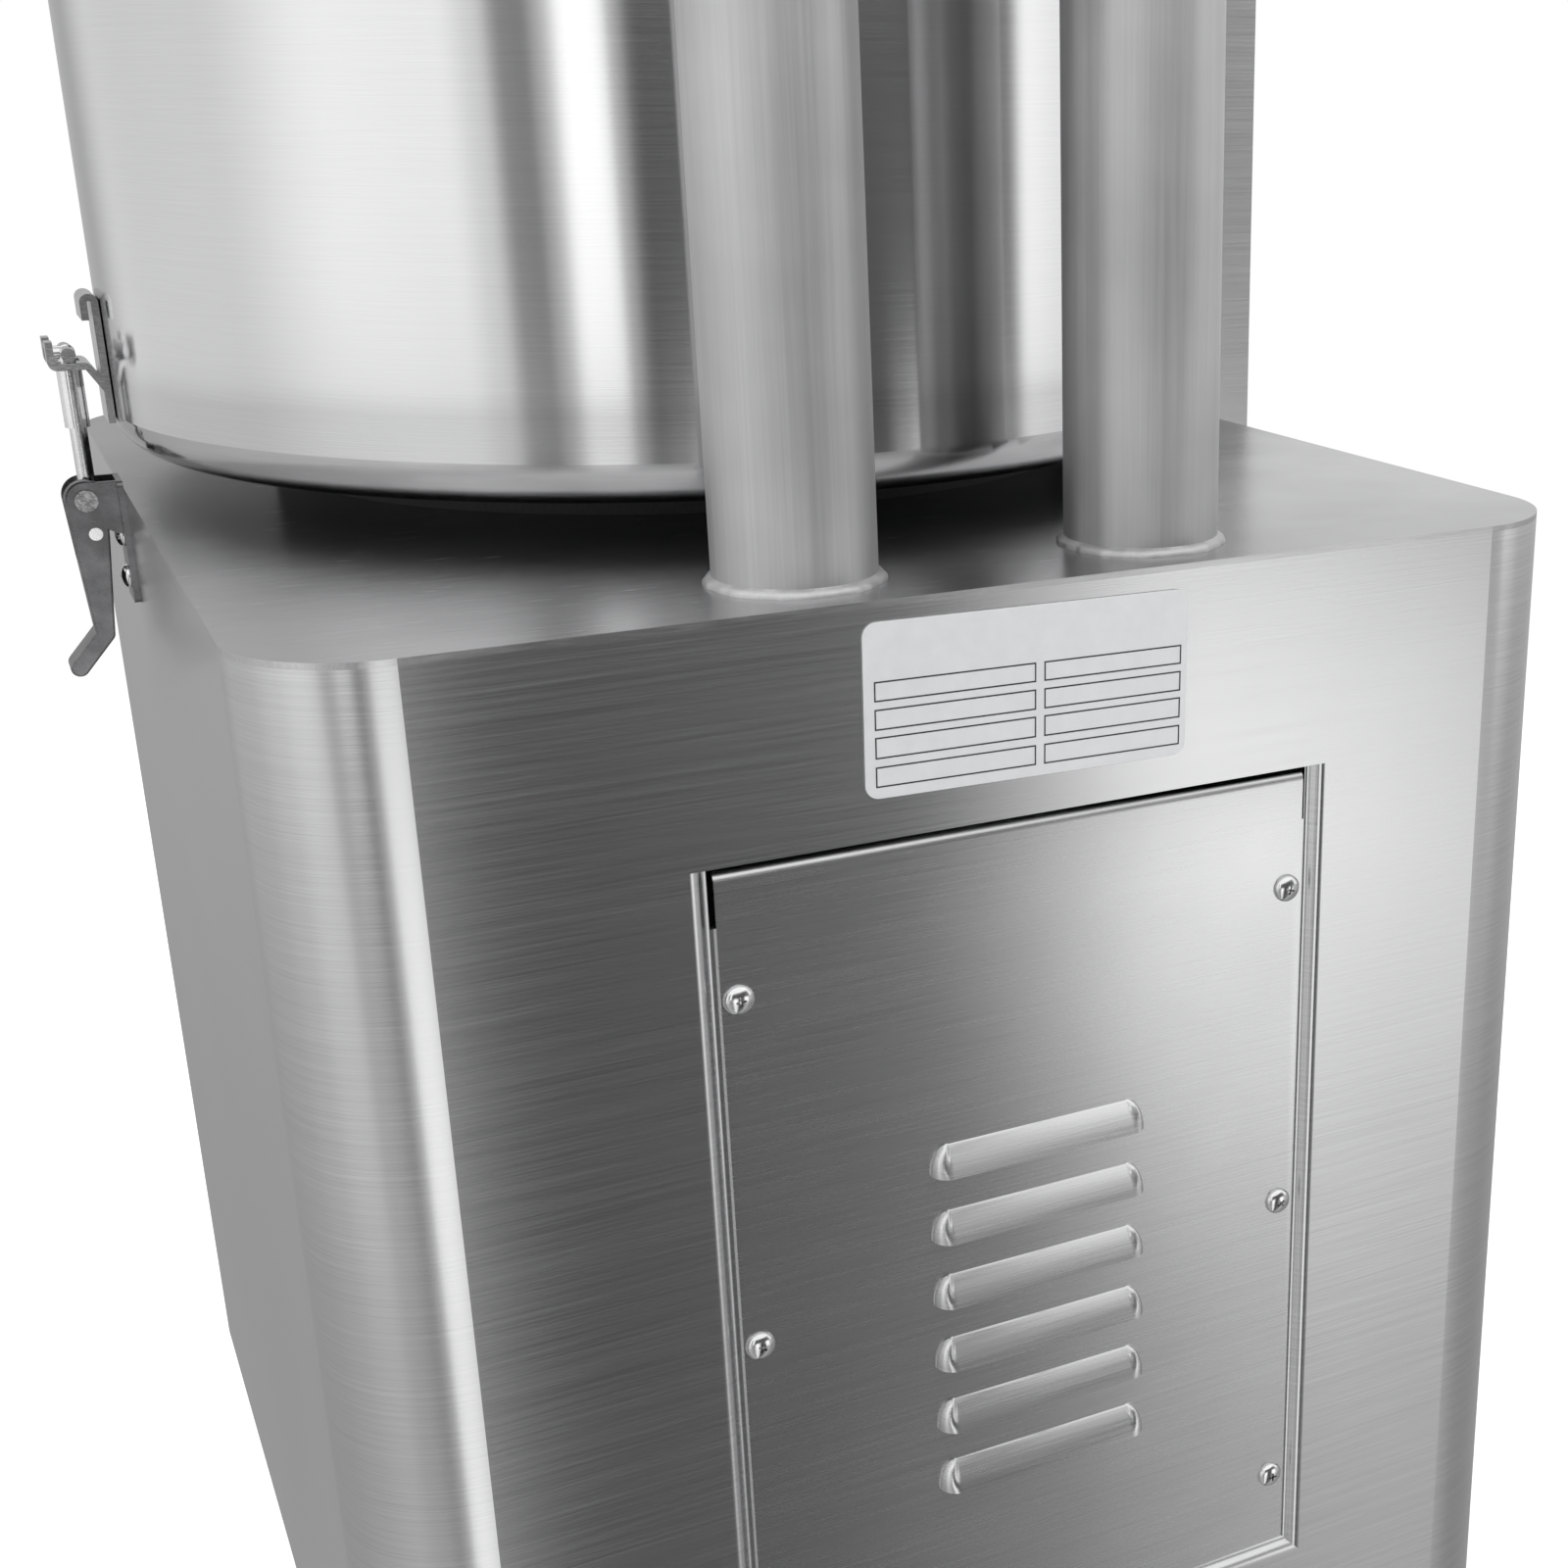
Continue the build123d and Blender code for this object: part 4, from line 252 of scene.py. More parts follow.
def makeTent(s):
    bm = bmesh.new()
    height = s["tentTop"] - s["tentFloor"]
    bmesh.ops.create_cone(bm, cap_ends=True, segments=96, radius1=s["tentRadius"], radius2=s["tentRadius"],
                          depth=height)
    bmesh.ops.translate(bm, verts=bm.verts, vec=(0, 0, s["tentFloor"] + height / 2))
    mesh = meshFrom(bm, "lightTent")
    mat = newMaterial("tentCloth")
    brightest = s["tentBrightest"]
    split = addNode(mat, "ShaderNodeSeparateXYZ", inputs={"Vector": placeOn(mat)}).outputs
    around = mathNode(mat, "ARCTAN2", split["X"], split["Y"])
    share = spanNode(mat, around, (-math.pi, math.pi))
    low, level, high = (rampNode(mat, share, [((a + 180) / 360, v / brightest) for a, v in row], "EASE")
                        for row in (tentLow, tentLevel, tentHigh))
    tone = mixColours(mat, spanNode(mat, split["Z"], s["lowToLevel"], easing="SMOOTHSTEP"), low, level)
    tone = mixColours(mat, spanNode(mat, split["Z"], s["levelToHigh"], easing="SMOOTHSTEP"), tone, high)
    lean = mathNode(mat, "ADD", split["Z"], mathNode(mat, "MULTIPLY", split["Y"], s["ceilingLean"]))
    ceiling = s["ceiling"] / brightest
    tone = mixColours(mat, spanNode(mat, lean, s["ceilingFrom"], easing="SMOOTHSTEP"), tone,
                      (ceiling, ceiling, ceiling, 1))
    glow = addNode(mat, "ShaderNodeEmission", inputs={"Color": tone, "Strength": brightest})
    shaderOut(mat, glow.outputs[0])
    mat.cycles.emission_sampling = "NONE"
    mesh.materials.append(mat)
    tent = addStage(bpy.data.objects.new("lightTent", mesh))
    tent.visible_camera = False
    tent.visible_diffuse = False
    tent.visible_transmission = False
    tent.visible_shadow = False


lamps = [
    {"name": "softboxLeft", "place": (1.7, 1.4, 2.0), "size": 1.6, "watts": 22},
    {"name": "softboxRight", "place": (-1.8, 1.1, 1.8), "size": 1.6, "watts": 16},
    {"name": "softboxFront", "place": (0.2, -2.2, 1.9), "size": 1.8, "watts": 16},
]


def makeLamps(s):
    for lamp in lamps:
        data = bpy.data.lights.new(lamp["name"], "AREA")
        data.shape = "SQUARE"
        data.size = lamp["size"]
        data.energy = lamp["watts"]
        obj = bpy.data.objects.new(lamp["name"], data)
        bpy.context.scene.collection.objects.link(obj)
        obj.location = lamp["place"]
        aim = Vector(s["lampAim"]) - Vector(lamp["place"])
        obj.rotation_euler = aim.to_track_quat("-Z", "Y").to_euler()
        obj.visible_glossy = False


makeWorld(studio)
makeFloor(studio)
makeTent(studio)
makeLamps(studio)
bpy.context.scene.view_settings.view_transform = "Standard"
print("studio built")


# What all brushed finishes share
brushing = {
    "relief": 0.0002,            # metres, of the brushed lines and the specks
    "finer": 3.1,                # how much finer the second layer of brushed lines is
    "lineNoise": (4, 0.7),       # detail and roughness of each layer's noise
    "fineNoise": (2, 0.5),
    "cloudNoise": (3, 0.55),
    "speckNoise": (2, 0.6),
    "lineSpan": (0.36, 0.64),    # noise values at which a pattern is darkest and lightest
    "cloudSpan": (0.35, 0.65),
    "roughSpan": (0.3, 0.7),     # and at which the metal is smoothest and roughest
    # shares of the way up a band of worn or heated metal, and how bright it is there
    "ringTones": [(0.0, 1.0), (0.4, 0.93), (0.75, 0.84), (0.9, 0.98), (1.0, 1.0)],
    "weldTones": [(0.0, 0.95), (0.12, 0.8), (0.3, 0.55), (0.5, 0.75), (1.0, 1.0)],
    "stray": {"ring": 0.008, "weld": 0.003, "seat": 0.05},  # metres by which a band's edges wander
}
# What paint, plastic, rubber, grit and castings share
spotting = {
    "noise": (4, 0.6),
    "toneSpan": (0.35, 0.65),
    "roughSpan": (0.3, 0.7),
}


def darkAndLight(f):
    dark = tuple(c * (1 - f["contrast"]) for c in f["colour"])
    light = tuple(min(1, c * (1 + f["contrast"])) for c in f["colour"])
    return dark, light


def strayed(mat, value, noise, reach):
    offset = mathNode(mat, "MULTIPLY", mathNode(mat, "SUBTRACT", noise, 0.5), reach)
    return mathNode(mat, "ADD", value, offset)


def heightBand(mat, noise, reach, span, tones):
    height = addNode(mat, "ShaderNodeSeparateXYZ", inputs={"Vector": placeOn(mat)}).outputs["Z"]
    return rampNode(mat, spanNode(mat, strayed(mat, height, noise, reach), span), tones)


def brushedMetal(name, f):
    b = brushing
    mat = newMaterial(name)
    streak = noiseAt(mat, f["grain"], f["grainSize"], *b["lineNoise"])
    fine = noiseAt(mat, f["grain"], f["grainSize"] * b["finer"], *b["fineNoise"])
    cloud = noiseAt(mat, (1, 1, 1), f["cloudSize"], *b["cloudNoise"])
    speck = noiseAt(mat, f["speckGrain"], f["speckSize"], *b["speckNoise"])
    lines = mathNode(mat, "ADD", mathNode(mat, "MULTIPLY", streak, 0.5), mathNode(mat, "MULTIPLY", fine, 0.5))
    tone = rampNode(mat, lines, list(zip(b["lineSpan"], darkAndLight(f))))
    smudge = rampNode(mat, cloud, list(zip(b["cloudSpan"], (1 - f["smudge"], 1.0))))
    if "ring" in f:  # heights in metres between which the metal was left rougher and darker
        worn = heightBand(mat, cloud, b["stray"]["ring"], f["ring"], b["ringTones"])
        smudge = mixColours(mat, 1.0, smudge, worn, "MULTIPLY")
    if "weld" in f:  # heights between which the heat of the weld left the tube darker
        tint = heightBand(mat, speck, b["stray"]["weld"], f["weld"], b["weldTones"])
        smudge = mixColours(mat, 1.0, smudge, tint, "MULTIPLY")
    if "seat" in f:  # distances from the spindle over which the painted shade under the drum fades out
        reach = strayed(mat, lengthOf(mat, stretchedPlace(mat, (1, 1, 0))), cloud, b["stray"]["seat"])
        shadeUnderDrum = spanNode(mat, reach, f["seat"], (f["drumShadeTone"], 1.0), "SMOOTHSTEP")
        smudge = mixColours(mat, 1.0, smudge, shadeUnderDrum, "MULTIPLY")
    bump = addNode(mat, "ShaderNodeBump", inputs={
        "Height": lines, "Strength": f["bump"], "Distance": b["relief"]})
    pits = addNode(mat, "ShaderNodeBump", inputs={
        "Height": speck, "Strength": f["pits"], "Distance": b["relief"], "Normal": bump.outputs["Normal"]})
    shader = addNode(mat, "ShaderNodeBsdfPrincipled", inputs={
        "Base Color": mixColours(mat, 1.0, tone, smudge, "MULTIPLY"), "Metallic": 1.0,
        "Roughness": spanNode(mat, lines, b["roughSpan"], f["rough"]), "Anisotropic": f.get("spread", 0.0),
        "Anisotropic Rotation": 0.25, "Normal": pits.outputs["Normal"]})
    if "spread" in f:  # the brushed lines run level, so highlights spread up and down
        around = addNode(mat, "ShaderNodeTangent", {"direction_type": "RADIAL", "axis": "Z"})
        mat.node_tree.links.new(around.outputs["Tangent"], shader.inputs["Tangent"])
    return shaderOut(mat, shader.outputs[0])


def plainFinish(name, f):
    mat = newMaterial(name)
    spots = noiseAt(mat, (1, 1, 1), f["size"], *spotting["noise"])
    tone = rampNode(mat, spots, list(zip(spotting["toneSpan"], darkAndLight(f))))
    bump = addNode(mat, "ShaderNodeBump", inputs={
        "Height": spots, "Strength": f["bump"], "Distance": f["depth"]})
    rough = spanNode(mat, spots, spotting["roughSpan"], f["rough"])
    shader = addNode(mat, "ShaderNodeBsdfPrincipled", inputs={
        "Base Color": tone, "Metallic": f["metal"], "Roughness": rough, "Normal": bump.outputs["Normal"]})
    return shaderOut(mat, shader.outputs[0])


steelColour = (0.6, 0.6, 0.605)
wallSteel = brushedMetal("levelBrushedSteel", {
    "colour": steelColour, "grain": (0.008, 0.008, 1), "grainSize": 1000, "cloudSize": 5, "contrast": 0.05,
    "smudge": 0.06, "rough": (0.2, 0.27), "spread": 0.88, "bump": 0.14, "speckGrain": (0.15, 0.15, 1),
    "speckSize": 1300, "pits": 0.04})
panelSteel = brushedMetal("handledPanelSteel", {
    "colour": (0.62, 0.62, 0.625), "grain": (0.01, 0.01, 1), "grainSize": 1000, "cloudSize": 9,
    "contrast": 0.05, "smudge": 0.08, "rough": (0.23, 0.29), "spread": 0.8, "bump": 0.1,
    "speckGrain": (0.4, 0.4, 1), "speckSize": 1500, "pits": 0.03})
# the panel's own steel made lighter: painted light on the louvres, whose faces catch the light from above
louvreSteelPaintedBright = brushedMetal("panelSteelPaintedLightForLouvres", {
    "colour": (0.86, 0.86, 0.865), "grain": (0.01, 0.01, 1), "grainSize": 1000, "cloudSize": 60,
    "contrast": 0.03, "smudge": 0.1, "rough": (0.25, 0.31), "spread": 0.8, "bump": 0.05,
    "speckGrain": (0.4, 0.4, 1), "speckSize": 1500, "pits": 0.02})
drumSteel = brushedMetal("spunDrumSteel", {
    "colour": steelColour, "grain": (0.008, 0.008, 1), "grainSize": 1500, "cloudSize": 5, "contrast": 0.03,
    "smudge": 0.05, "rough": (0.11, 0.145), "spread": 0.93, "bump": 0.05, "speckGrain": (0.15, 0.15, 1),
    "speckSize": 1300, "pits": 0.02, "ring": (0.49, 0.545)})
topSteel = brushedMetal("lengthwiseBrushedSteel", {
    "colour": (0.54, 0.54, 0.545), "grain": (0.02, 1, 0.2), "grainSize": 1400, "cloudSize": 7,
    "contrast": 0.06, "smudge": 0.16, "rough": (0.2, 0.28), "bump": 0.15, "speckGrain": (0.3, 1, 0.3),
    "speckSize": 900, "pits": 0.08})
# cabinet top steel with painted shade under the drum, darker near the spindle where the drum shades the top
seatedSteel = brushedMetal("cabinetTopSteelShadedUnderDrum", {
    "colour": (0.55, 0.55, 0.555), "grain": (0.02, 1, 0.2), "grainSize": 1200, "cloudSize": 9,
    "contrast": 0.06, "smudge": 0.2, "rough": (0.2, 0.28), "bump": 0.15, "speckGrain": (0.3, 1, 0.3),
    "speckSize": 900, "pits": 0.08, "seat": (0.17, 0.27), "drumShadeTone": 0.6})
tubeSteel = brushedMetal("drawnTubeSteel", {
    "colour": (0.52, 0.52, 0.525), "grain": (1, 1, 0.01), "grainSize": 420, "cloudSize": 16, "contrast": 0.06,
    "smudge": 0.12, "rough": (0.46, 0.54), "bump": 0.12, "speckGrain": (1, 1, 0.3), "speckSize": 1100,
    "pits": 0.1, "weld": (0.4575, 0.472)})
stampedSteel = brushedMetal("stampedLatchSteel", {
    "colour": (0.2, 0.2, 0.205), "grain": (1, 1, 1), "grainSize": 400, "cloudSize": 90, "contrast": 0.1,
    "smudge": 0.35, "rough": (0.24, 0.34), "bump": 0.1, "speckGrain": (1, 1, 1), "speckSize": 900,
    "pits": 0.08})
rivetSteel = brushedMetal("peenedRivetSteel", {
    "colour": (0.42, 0.42, 0.425), "grain": (1, 1, 1), "grainSize": 600, "cloudSize": 300, "contrast": 0.2,
    "smudge": 0.5, "rough": (0.2, 0.3), "bump": 0.4, "speckGrain": (1, 1, 1), "speckSize": 400, "pits": 0.6})
fittingSteel = brushedMetal("polishedFittingSteel", {
    "colour": (0.66, 0.66, 0.665), "grain": (0.3, 0.3, 1), "grainSize": 700, "cloudSize": 40,
    "contrast": 0.06, "smudge": 0.1, "rough": (0.1, 0.2), "bump": 0.08, "speckGrain": (1, 1, 1),
    "speckSize": 900, "pits": 0.05})
turnedIron = brushedMetal("turnedCastIron", {
    "colour": (0.24, 0.24, 0.25), "grain": (0.05, 0.05, 1), "grainSize": 500, "cloudSize": 60,
    "contrast": 0.15, "smudge": 0.25, "rough": (0.35, 0.5), "bump": 0.3, "speckGrain": (1, 1, 1),
    "speckSize": 500, "pits": 0.3})
castAluminium = plainFinish("sandCastAluminium", {
    "colour": (0.5, 0.51, 0.52), "size": 900, "contrast": 0.12, "rough": (0.38, 0.55), "bump": 0.5,
    "depth": 0.0003, "metal": 1.0})
rubber = plainFinish("blackRubber", {
    "colour": (0.028, 0.028, 0.028), "size": 700, "contrast": 0.3, "rough": (0.45, 0.65), "bump": 0.3,
    "depth": 0.0002, "metal": 0.0})
gritCoat = plainFinish("siliconGrit", {
    "colour": (0.09, 0.085, 0.08), "size": 420, "contrast": 0.6, "rough": (0.55, 0.95), "bump": 1.0,
    "depth": 0.0012, "metal": 0.0})
greyPaint = plainFinish("greyDrivePaint", {
    "colour": (0.2, 0.21, 0.22), "size": 500, "contrast": 0.08, "rough": (0.4, 0.55), "bump": 0.2,
    "depth": 0.0002, "metal": 0.0})
redPaint = plainFinish("redLeverPaint", {
    "colour": (0.42, 0.012, 0.012), "size": 400, "contrast": 0.1, "rough": (0.28, 0.4), "bump": 0.1,
    "depth": 0.0001, "metal": 0.0})
blackPlastic = plainFinish("mouldedBlackPlastic", {
    "colour": (0.022, 0.022, 0.024), "size": 1100, "contrast": 0.2, "rough": (0.38, 0.5), "bump": 0.25,
    "depth": 0.0001, "metal": 0.0})
greyPlastic = plainFinish("greyPipePlastic", {
    "colour": (0.27, 0.28, 0.29), "size": 300, "contrast": 0.06, "rough": (0.35, 0.45), "bump": 0.1,
    "depth": 0.0001, "metal": 0.0})
greenPlastic = plainFinish("greenButtonPlastic", {
    "colour": (0.01, 0.24, 0.05), "size": 600, "contrast": 0.1, "rough": (0.22, 0.32), "bump": 0.08,
    "depth": 0.0001, "metal": 0.0})
redPlastic = plainFinish("redButtonPlastic", {
    "colour": (0.5, 0.01, 0.01), "size": 600, "contrast": 0.1, "rough": (0.22, 0.32), "bump": 0.08,
    "depth": 0.0001, "metal": 0.0})
brass = brushedMetal("turnedBrass", {
    "colour": (0.66, 0.45, 0.18), "grain": (1, 0.05, 0.05), "grainSize": 600, "cloudSize": 60,
    "contrast": 0.1, "smudge": 0.15, "rough": (0.22, 0.34), "bump": 0.15, "speckGrain": (1, 1, 1),
    "speckSize": 800, "pits": 0.1})
# near-black material that paints shade into the screws' cross recesses
recessShade = plainFinish("paintedShadeInRecess", {
    "colour": (0.025, 0.024, 0.023), "size": 900, "contrast": 0.3, "rough": (0.5, 0.7), "bump": 0.1,
    "depth": 0.0001, "metal": 0.0})
print("finishes mixed")

finishOf = {
    "cabinet_shell": wallSteel, "control_box": wallSteel, "control_cover": wallSteel,
    "discharge_gate": wallSteel, "access_panel": panelSteel, "drum_shell": drumSteel,
    "cabinet_top": seatedSteel, "base_plate": topSteel, "lid": topSteel, "lid_arm": topSteel,
    "discharge_chute": topSteel, "post_caps": topSteel, "gate_guide_left": tubeSteel,
    "gate_guide_right": tubeSteel, "post_left": tubeSteel, "post_right": tubeSteel,
    "latch_left_base": stampedSteel, "latch_left_lever": stampedSteel, "latch_right_base": stampedSteel,
    "latch_right_lever": stampedSteel, "latch_rivets": rivetSteel, "abrasive_liner": gritCoat,
    "disc_grit": gritCoat, "peeling_disc": castAluminium, "motor_body": castAluminium,
    "bearing_housing": turnedIron, "large_pulley": turnedIron, "motor_pulley": turnedIron,
    "drive_plate": greyPaint, "motor_fan_cover": blackPlastic, "control_switches": blackPlastic,
    "timer_knob": blackPlastic, "cable_gland": blackPlastic, "start_button": greenPlastic,
    "stop_button": redPlastic, "waste_pipe": greyPlastic, "water_inlet": brass, "valve_lever": redPaint,
    "lid_seal": rubber, "seat_ring": rubber, "shaft_seal": rubber, "v_belt": rubber,
    "foot_front_left": rubber, "foot_front_right": rubber, "foot_rear_left": rubber,
    "foot_rear_right": rubber,
}
for nodeName, obj in nodes.items():
    finish = finishOf.get(nodeName, fittingSteel)  # latches, hinge pin, shafts, bolts and handles
    if not obj.material_slots:
        obj.data.materials.append(finish)
    for materialSlot in obj.material_slots:
        materialSlot.material = finish
print("finishes given to the model's nodes")


def addPiece(mesh, name, slot, *finishes):
    mesh.name = name
    piece = bpy.data.objects.new(name, mesh)
    bpy.context.scene.collection.objects.link(piece)
    mesh.materials.clear()
    for finish in finishes:
        mesh.materials.append(finish)
    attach(piece, "base")
    return piece


def turnVerts(bm, verts, degrees, axis):
    bmesh.ops.rotate(bm, verts=verts, cent=(0, 0, 0), matrix=Matrix.Rotation(math.radians(degrees), 3, axis))


quarterTurn = [math.radians(15 * k) for k in range(7)]


def extrudedVerts(grown):
    return [g for g in grown["geom"] if isinstance(g, bmesh.types.BMVert)]


def spunOutline(outline, steps, closed=False):
    bm = bmesh.new()
    verts = [bm.verts.new((across, 0, height)) for across, height in outline]
    edges = [bm.edges.new(pair) for pair in zip(verts, verts[1:] + (verts[:1] if closed else []))]
    bmesh.ops.spin(bm, geom=verts + edges, cent=(0, 0, 0), axis=(0, 0, 1), angle=math.tau, steps=steps,
                   use_merge=True)
    bmesh.ops.remove_doubles(bm, verts=bm.verts, dist=1e-6)
    bmesh.ops.recalc_face_normals(bm, faces=bm.faces)
    for face in bm.faces:
        face.smooth = True
    return bm


def addCopy(bm, mesh, place):
    before = set(bm.verts)
    bm.from_mesh(mesh)
    bmesh.ops.transform(bm, verts=[v for v in bm.verts if v not in before], matrix=place)


def carved(blankMesh, punchMesh):
    blank = bpy.data.objects.new("blank", blankMesh)
    punch = bpy.data.objects.new("punch", punchMesh)
    for obj in (blank, punch):
        bpy.context.scene.collection.objects.link(obj)
    cut = blank.modifiers.new("cut", "BOOLEAN")
    cut.operation = "DIFFERENCE"
    cut.solver = "EXACT"
    cut.use_self = True
    cut.object = punch
    view = bpy.context.evaluated_depsgraph_get()
    mesh = bpy.data.meshes.new_from_object(blank.evaluated_get(view))
    for obj in (blank, punch):
        bpy.data.objects.remove(obj)
    return mesh


# Bare foil plate on the rear wall, above the access panel
ratingPlate = {
    "centre": (-0.0054, 0.3082, 0.4556),
    "width": 0.1108,
    "height": 0.0546,
    "tilt": -0.9,          # degrees, as it was stuck on
    "corner": 0.0045,
    "thickness": 0.0004,
    "edge": 0.00015,
    "sharpAngle": 30,      # degrees, past which an edge of the foil is rounded
    "lineWidth": 0.0007,
    "lineLift": 0.00003,
    "columns": ((0.03, 0.515), (0.54, 0.98)),  # shares of the width
    # shares of the height, from the top
    "rows": ((0.33, 0.445), (0.487, 0.607), (0.646, 0.77), (0.815, 0.935)),
}


def makeRatingPlate(p):
    bm = bmesh.new()
    bmesh.ops.create_grid(bm, x_segments=1, y_segments=1, size=0.5)
    bmesh.ops.scale(bm, verts=bm.verts, vec=(p["width"], p["height"], 1))
    bmesh.ops.bevel(bm, geom=bm.verts[:], affect="VERTICES", offset=p["corner"], segments=6, profile=0.5,
                    material=-1)
    lifted = extrudedVerts(bmesh.ops.extrude_face_region(bm, geom=bm.faces[:]))
    bmesh.ops.translate(bm, verts=lifted, vec=(0, 0, p["thickness"]))
    bmesh.ops.recalc_face_normals(bm, faces=bm.faces)
    sharp = math.radians(p["sharpAngle"])
    rim = [e for e in bm.edges if all(v.co.z > p["thickness"] / 2 for v in e.verts) and e.is_manifold
           and abs(e.calc_face_angle(0)) > sharp]
    bmesh.ops.bevel(bm, geom=rim, affect="EDGES", offset=p["edge"], segments=2, profile=0.5, material=-1)
    turnVerts(bm, bm.verts, p["tilt"], "Z")
    turnVerts(bm, bm.verts, -90, "X")
    bmesh.ops.translate(bm, verts=bm.verts, vec=p["centre"])
    foil = plainFinish("silverFoil", {
        "colour": (0.82, 0.83, 0.84), "size": 160, "contrast": 0.02, "rough": (0.42, 0.5), "bump": 0.05,
        "depth": 0.0001, "metal": 0.2})
    addPiece(meshFrom(bm, "ratingPlate"), "ratingPlate", "steel", foil)


def ruleRatingPlate(p):
    bm = bmesh.new()
    for left, right in p["columns"]:
        for top, bottom in p["rows"]:
            made = bmesh.ops.create_grid(bm, x_segments=1, y_segments=1, size=0.5)["verts"]
            boxSize = ((right - left) * p["width"], (bottom - top) * p["height"], 1)
            boxMiddle = (((left + right) / 2 - 0.5) * p["width"], (0.5 - (top + bottom) / 2) * p["height"], 0)
            bmesh.ops.scale(bm, verts=made, vec=boxSize)
            bmesh.ops.translate(bm, verts=made, vec=boxMiddle)
    inside = bm.faces[:]
    bmesh.ops.inset_individual(bm, faces=inside, thickness=p["lineWidth"])
    bmesh.ops.delete(bm, geom=inside, context="FACES")
    bmesh.ops.translate(bm, verts=bm.verts, vec=(0, 0, p["thickness"] + p["lineLift"]))
    turnVerts(bm, bm.verts, 180, "Z")
    turnVerts(bm, bm.verts, p["tilt"], "Z")
    turnVerts(bm, bm.verts, -90, "X")
    bmesh.ops.translate(bm, verts=bm.verts, vec=p["centre"])
    ink = plainFinish("darkInk", {
        "colour": (0.03, 0.03, 0.03), "size": 900, "contrast": 0.3, "rough": (0.45, 0.6), "bump": 0.05,
        "depth": 0.0001, "metal": 0.0})
    addPiece(meshFrom(bm, "ratingPlateRules"), "ratingPlateRules", "black_plastic", ink)


makeRatingPlate(ratingPlate)
ruleRatingPlate(ratingPlate)
print("rating plate stuck on and ruled with empty boxes")

# Domed heads with a cross recess, in place of the plain pan-head screws
domedScrew = {
    "headRadius": 0.0048,
    "headHeight": 0.0028,
    "rimShare": 0.12,        # of the head's height, the upright rim under its dome
    "shankRadius": 0.002,
    "shankLength": 0.009,
    "crossLength": 0.0044,
    "crossWidth": 0.0009,
    "crossDepth": 0.0015,
    "crossTaper": 0.55,      # how much narrower the recess is at its foot
    "shadeReach": 0.55,      # share of the recess's length, out from the middle, that gets painted shade
    "shadeSlope": 0.7,       # faces that look up less than this are the recess's walls
    "shadeFloor": 1.1,       # faces lower than this many floor heights are its floor
    "steps": 28,
    "sharpAngle": 38,
    "turnBetween": 37,       # degrees, so that no two were driven to the same angle
    # where each head is seated, and which way it looks
    "rear": [(x, 0.306, z) for x in (-0.103, 0.093) for z in (0.13407, 0.25125, 0.37215)],
    "cover": [(x, -0.177, z) for x in (-0.294, -0.23) for z in (0.415, 0.697)],
    "left": [(0.223, 0, z) for z in (0.455, 0.471)],
    "right": [(-0.223, 0, z) for z in (0.455, 0.471)],
}


def turnScrewBlank(d):
    dome = [(math.sin(a), math.cos(a)) for a in quarterTurn]
    rim = d["rimShare"]
    outline = [(d["headRadius"] * r, d["headHeight"] * (rim + (1 - rim) * h)) for r, h in dome]
    outline += [(d["headRadius"], 0), (d["shankRadius"], 0), (d["shankRadius"], -d["shankLength"]),
                (0, -d["shankLength"])]
    return meshFrom(spunOutline(outline, d["steps"]), "screwBlank")


def makeCrossPunch(d):
    bm = bmesh.new()
    for quarter in (0, 90):
        made = bmesh.ops.create_cube(bm, size=1)["verts"]
        bmesh.ops.scale(bm, verts=made, vec=(d["crossLength"], d["crossWidth"], 2 * d["crossDepth"]))
        foot = [v for v in made if v.co.z < 0]
        bmesh.ops.scale(bm, verts=foot, vec=(d["crossTaper"], d["crossTaper"], 1))
        turnVerts(bm, made, quarter, "Z")
    bmesh.ops.translate(bm, verts=bm.verts, vec=(0, 0, d["headHeight"]))
    return meshFrom(bm, "crossPunch")


# paints shade into the cross recess: its walls and floor take the dark second material
def darkenRecess(mesh, d):
    floor = d["headHeight"] - d["crossDepth"]
    for face in mesh.polygons:
        across = math.hypot(face.center.x, face.center.y)
        inside = across < d["shadeReach"] * d["crossLength"] and face.center.z > 0
        if inside and (abs(face.normal.z) < d["shadeSlope"] or face.center.z < d["shadeFloor"] * floor):
            face.material_index = 1


def makeDomedScrews(d):
    one = carved(turnScrewBlank(d), makeCrossPunch(d))
    darkenRecess(one, d)
    bm = bmesh.new()
    quarterTurns = {"rear": (-90, "X"), "cover": (90, "X"), "left": (90, "Y"), "right": (-90, "Y")}
    count = 0
    for side, (angle, axis) in quarterTurns.items():
        turn = Matrix.Rotation(math.radians(angle), 4, axis)
        for place in d[side]:
            driven = Matrix.Rotation(math.radians(d["turnBetween"] * count), 4, "Z")
            addCopy(bm, one, Matrix.Translation(place) @ turn @ driven)
            count += 1
    mesh = meshFrom(bm, "domedScrews")
    mesh.set_sharp_from_angle(angle=math.radians(d["sharpAngle"]))
    screws = addPiece(mesh, "domedScrews", "bright_steel", fittingSteel, recessShade)
    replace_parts(screws, "pan_screws")
    print("screws driven:", count)


makeDomedScrews(domedScrew)


# Posts of drawn tube, welded to the cabinet top with a thin, uneven bead
weldedPost = {
    "radius": 0.0254,
    "wall": 0.0015,
    "beadOut": 0.0024,
    "beadUp": 0.0026,
    "beadOutline": ((1.0, 0.0), (0.95, 0.35), (0.7, 0.65), (0.3, 0.85), (0.0, 1.0)),  # shares of out and up
    "unevenness": 0.0005,
    "ripples": ((9, 0.5, 0.4), (23, 0.3, 1.7), (41, 0.2, 2.9)),  # count round the tube, share, start angle
    "rippleShift": 5,        # radians a metre across, so that the two beads differ
    "pinRadius": 0.006,
    "boreGap": 0.0003,       # between the hinge pin and its hole
    "steps": 120,
    "boreSteps": 48,
    "sharpAngle": 40,
}


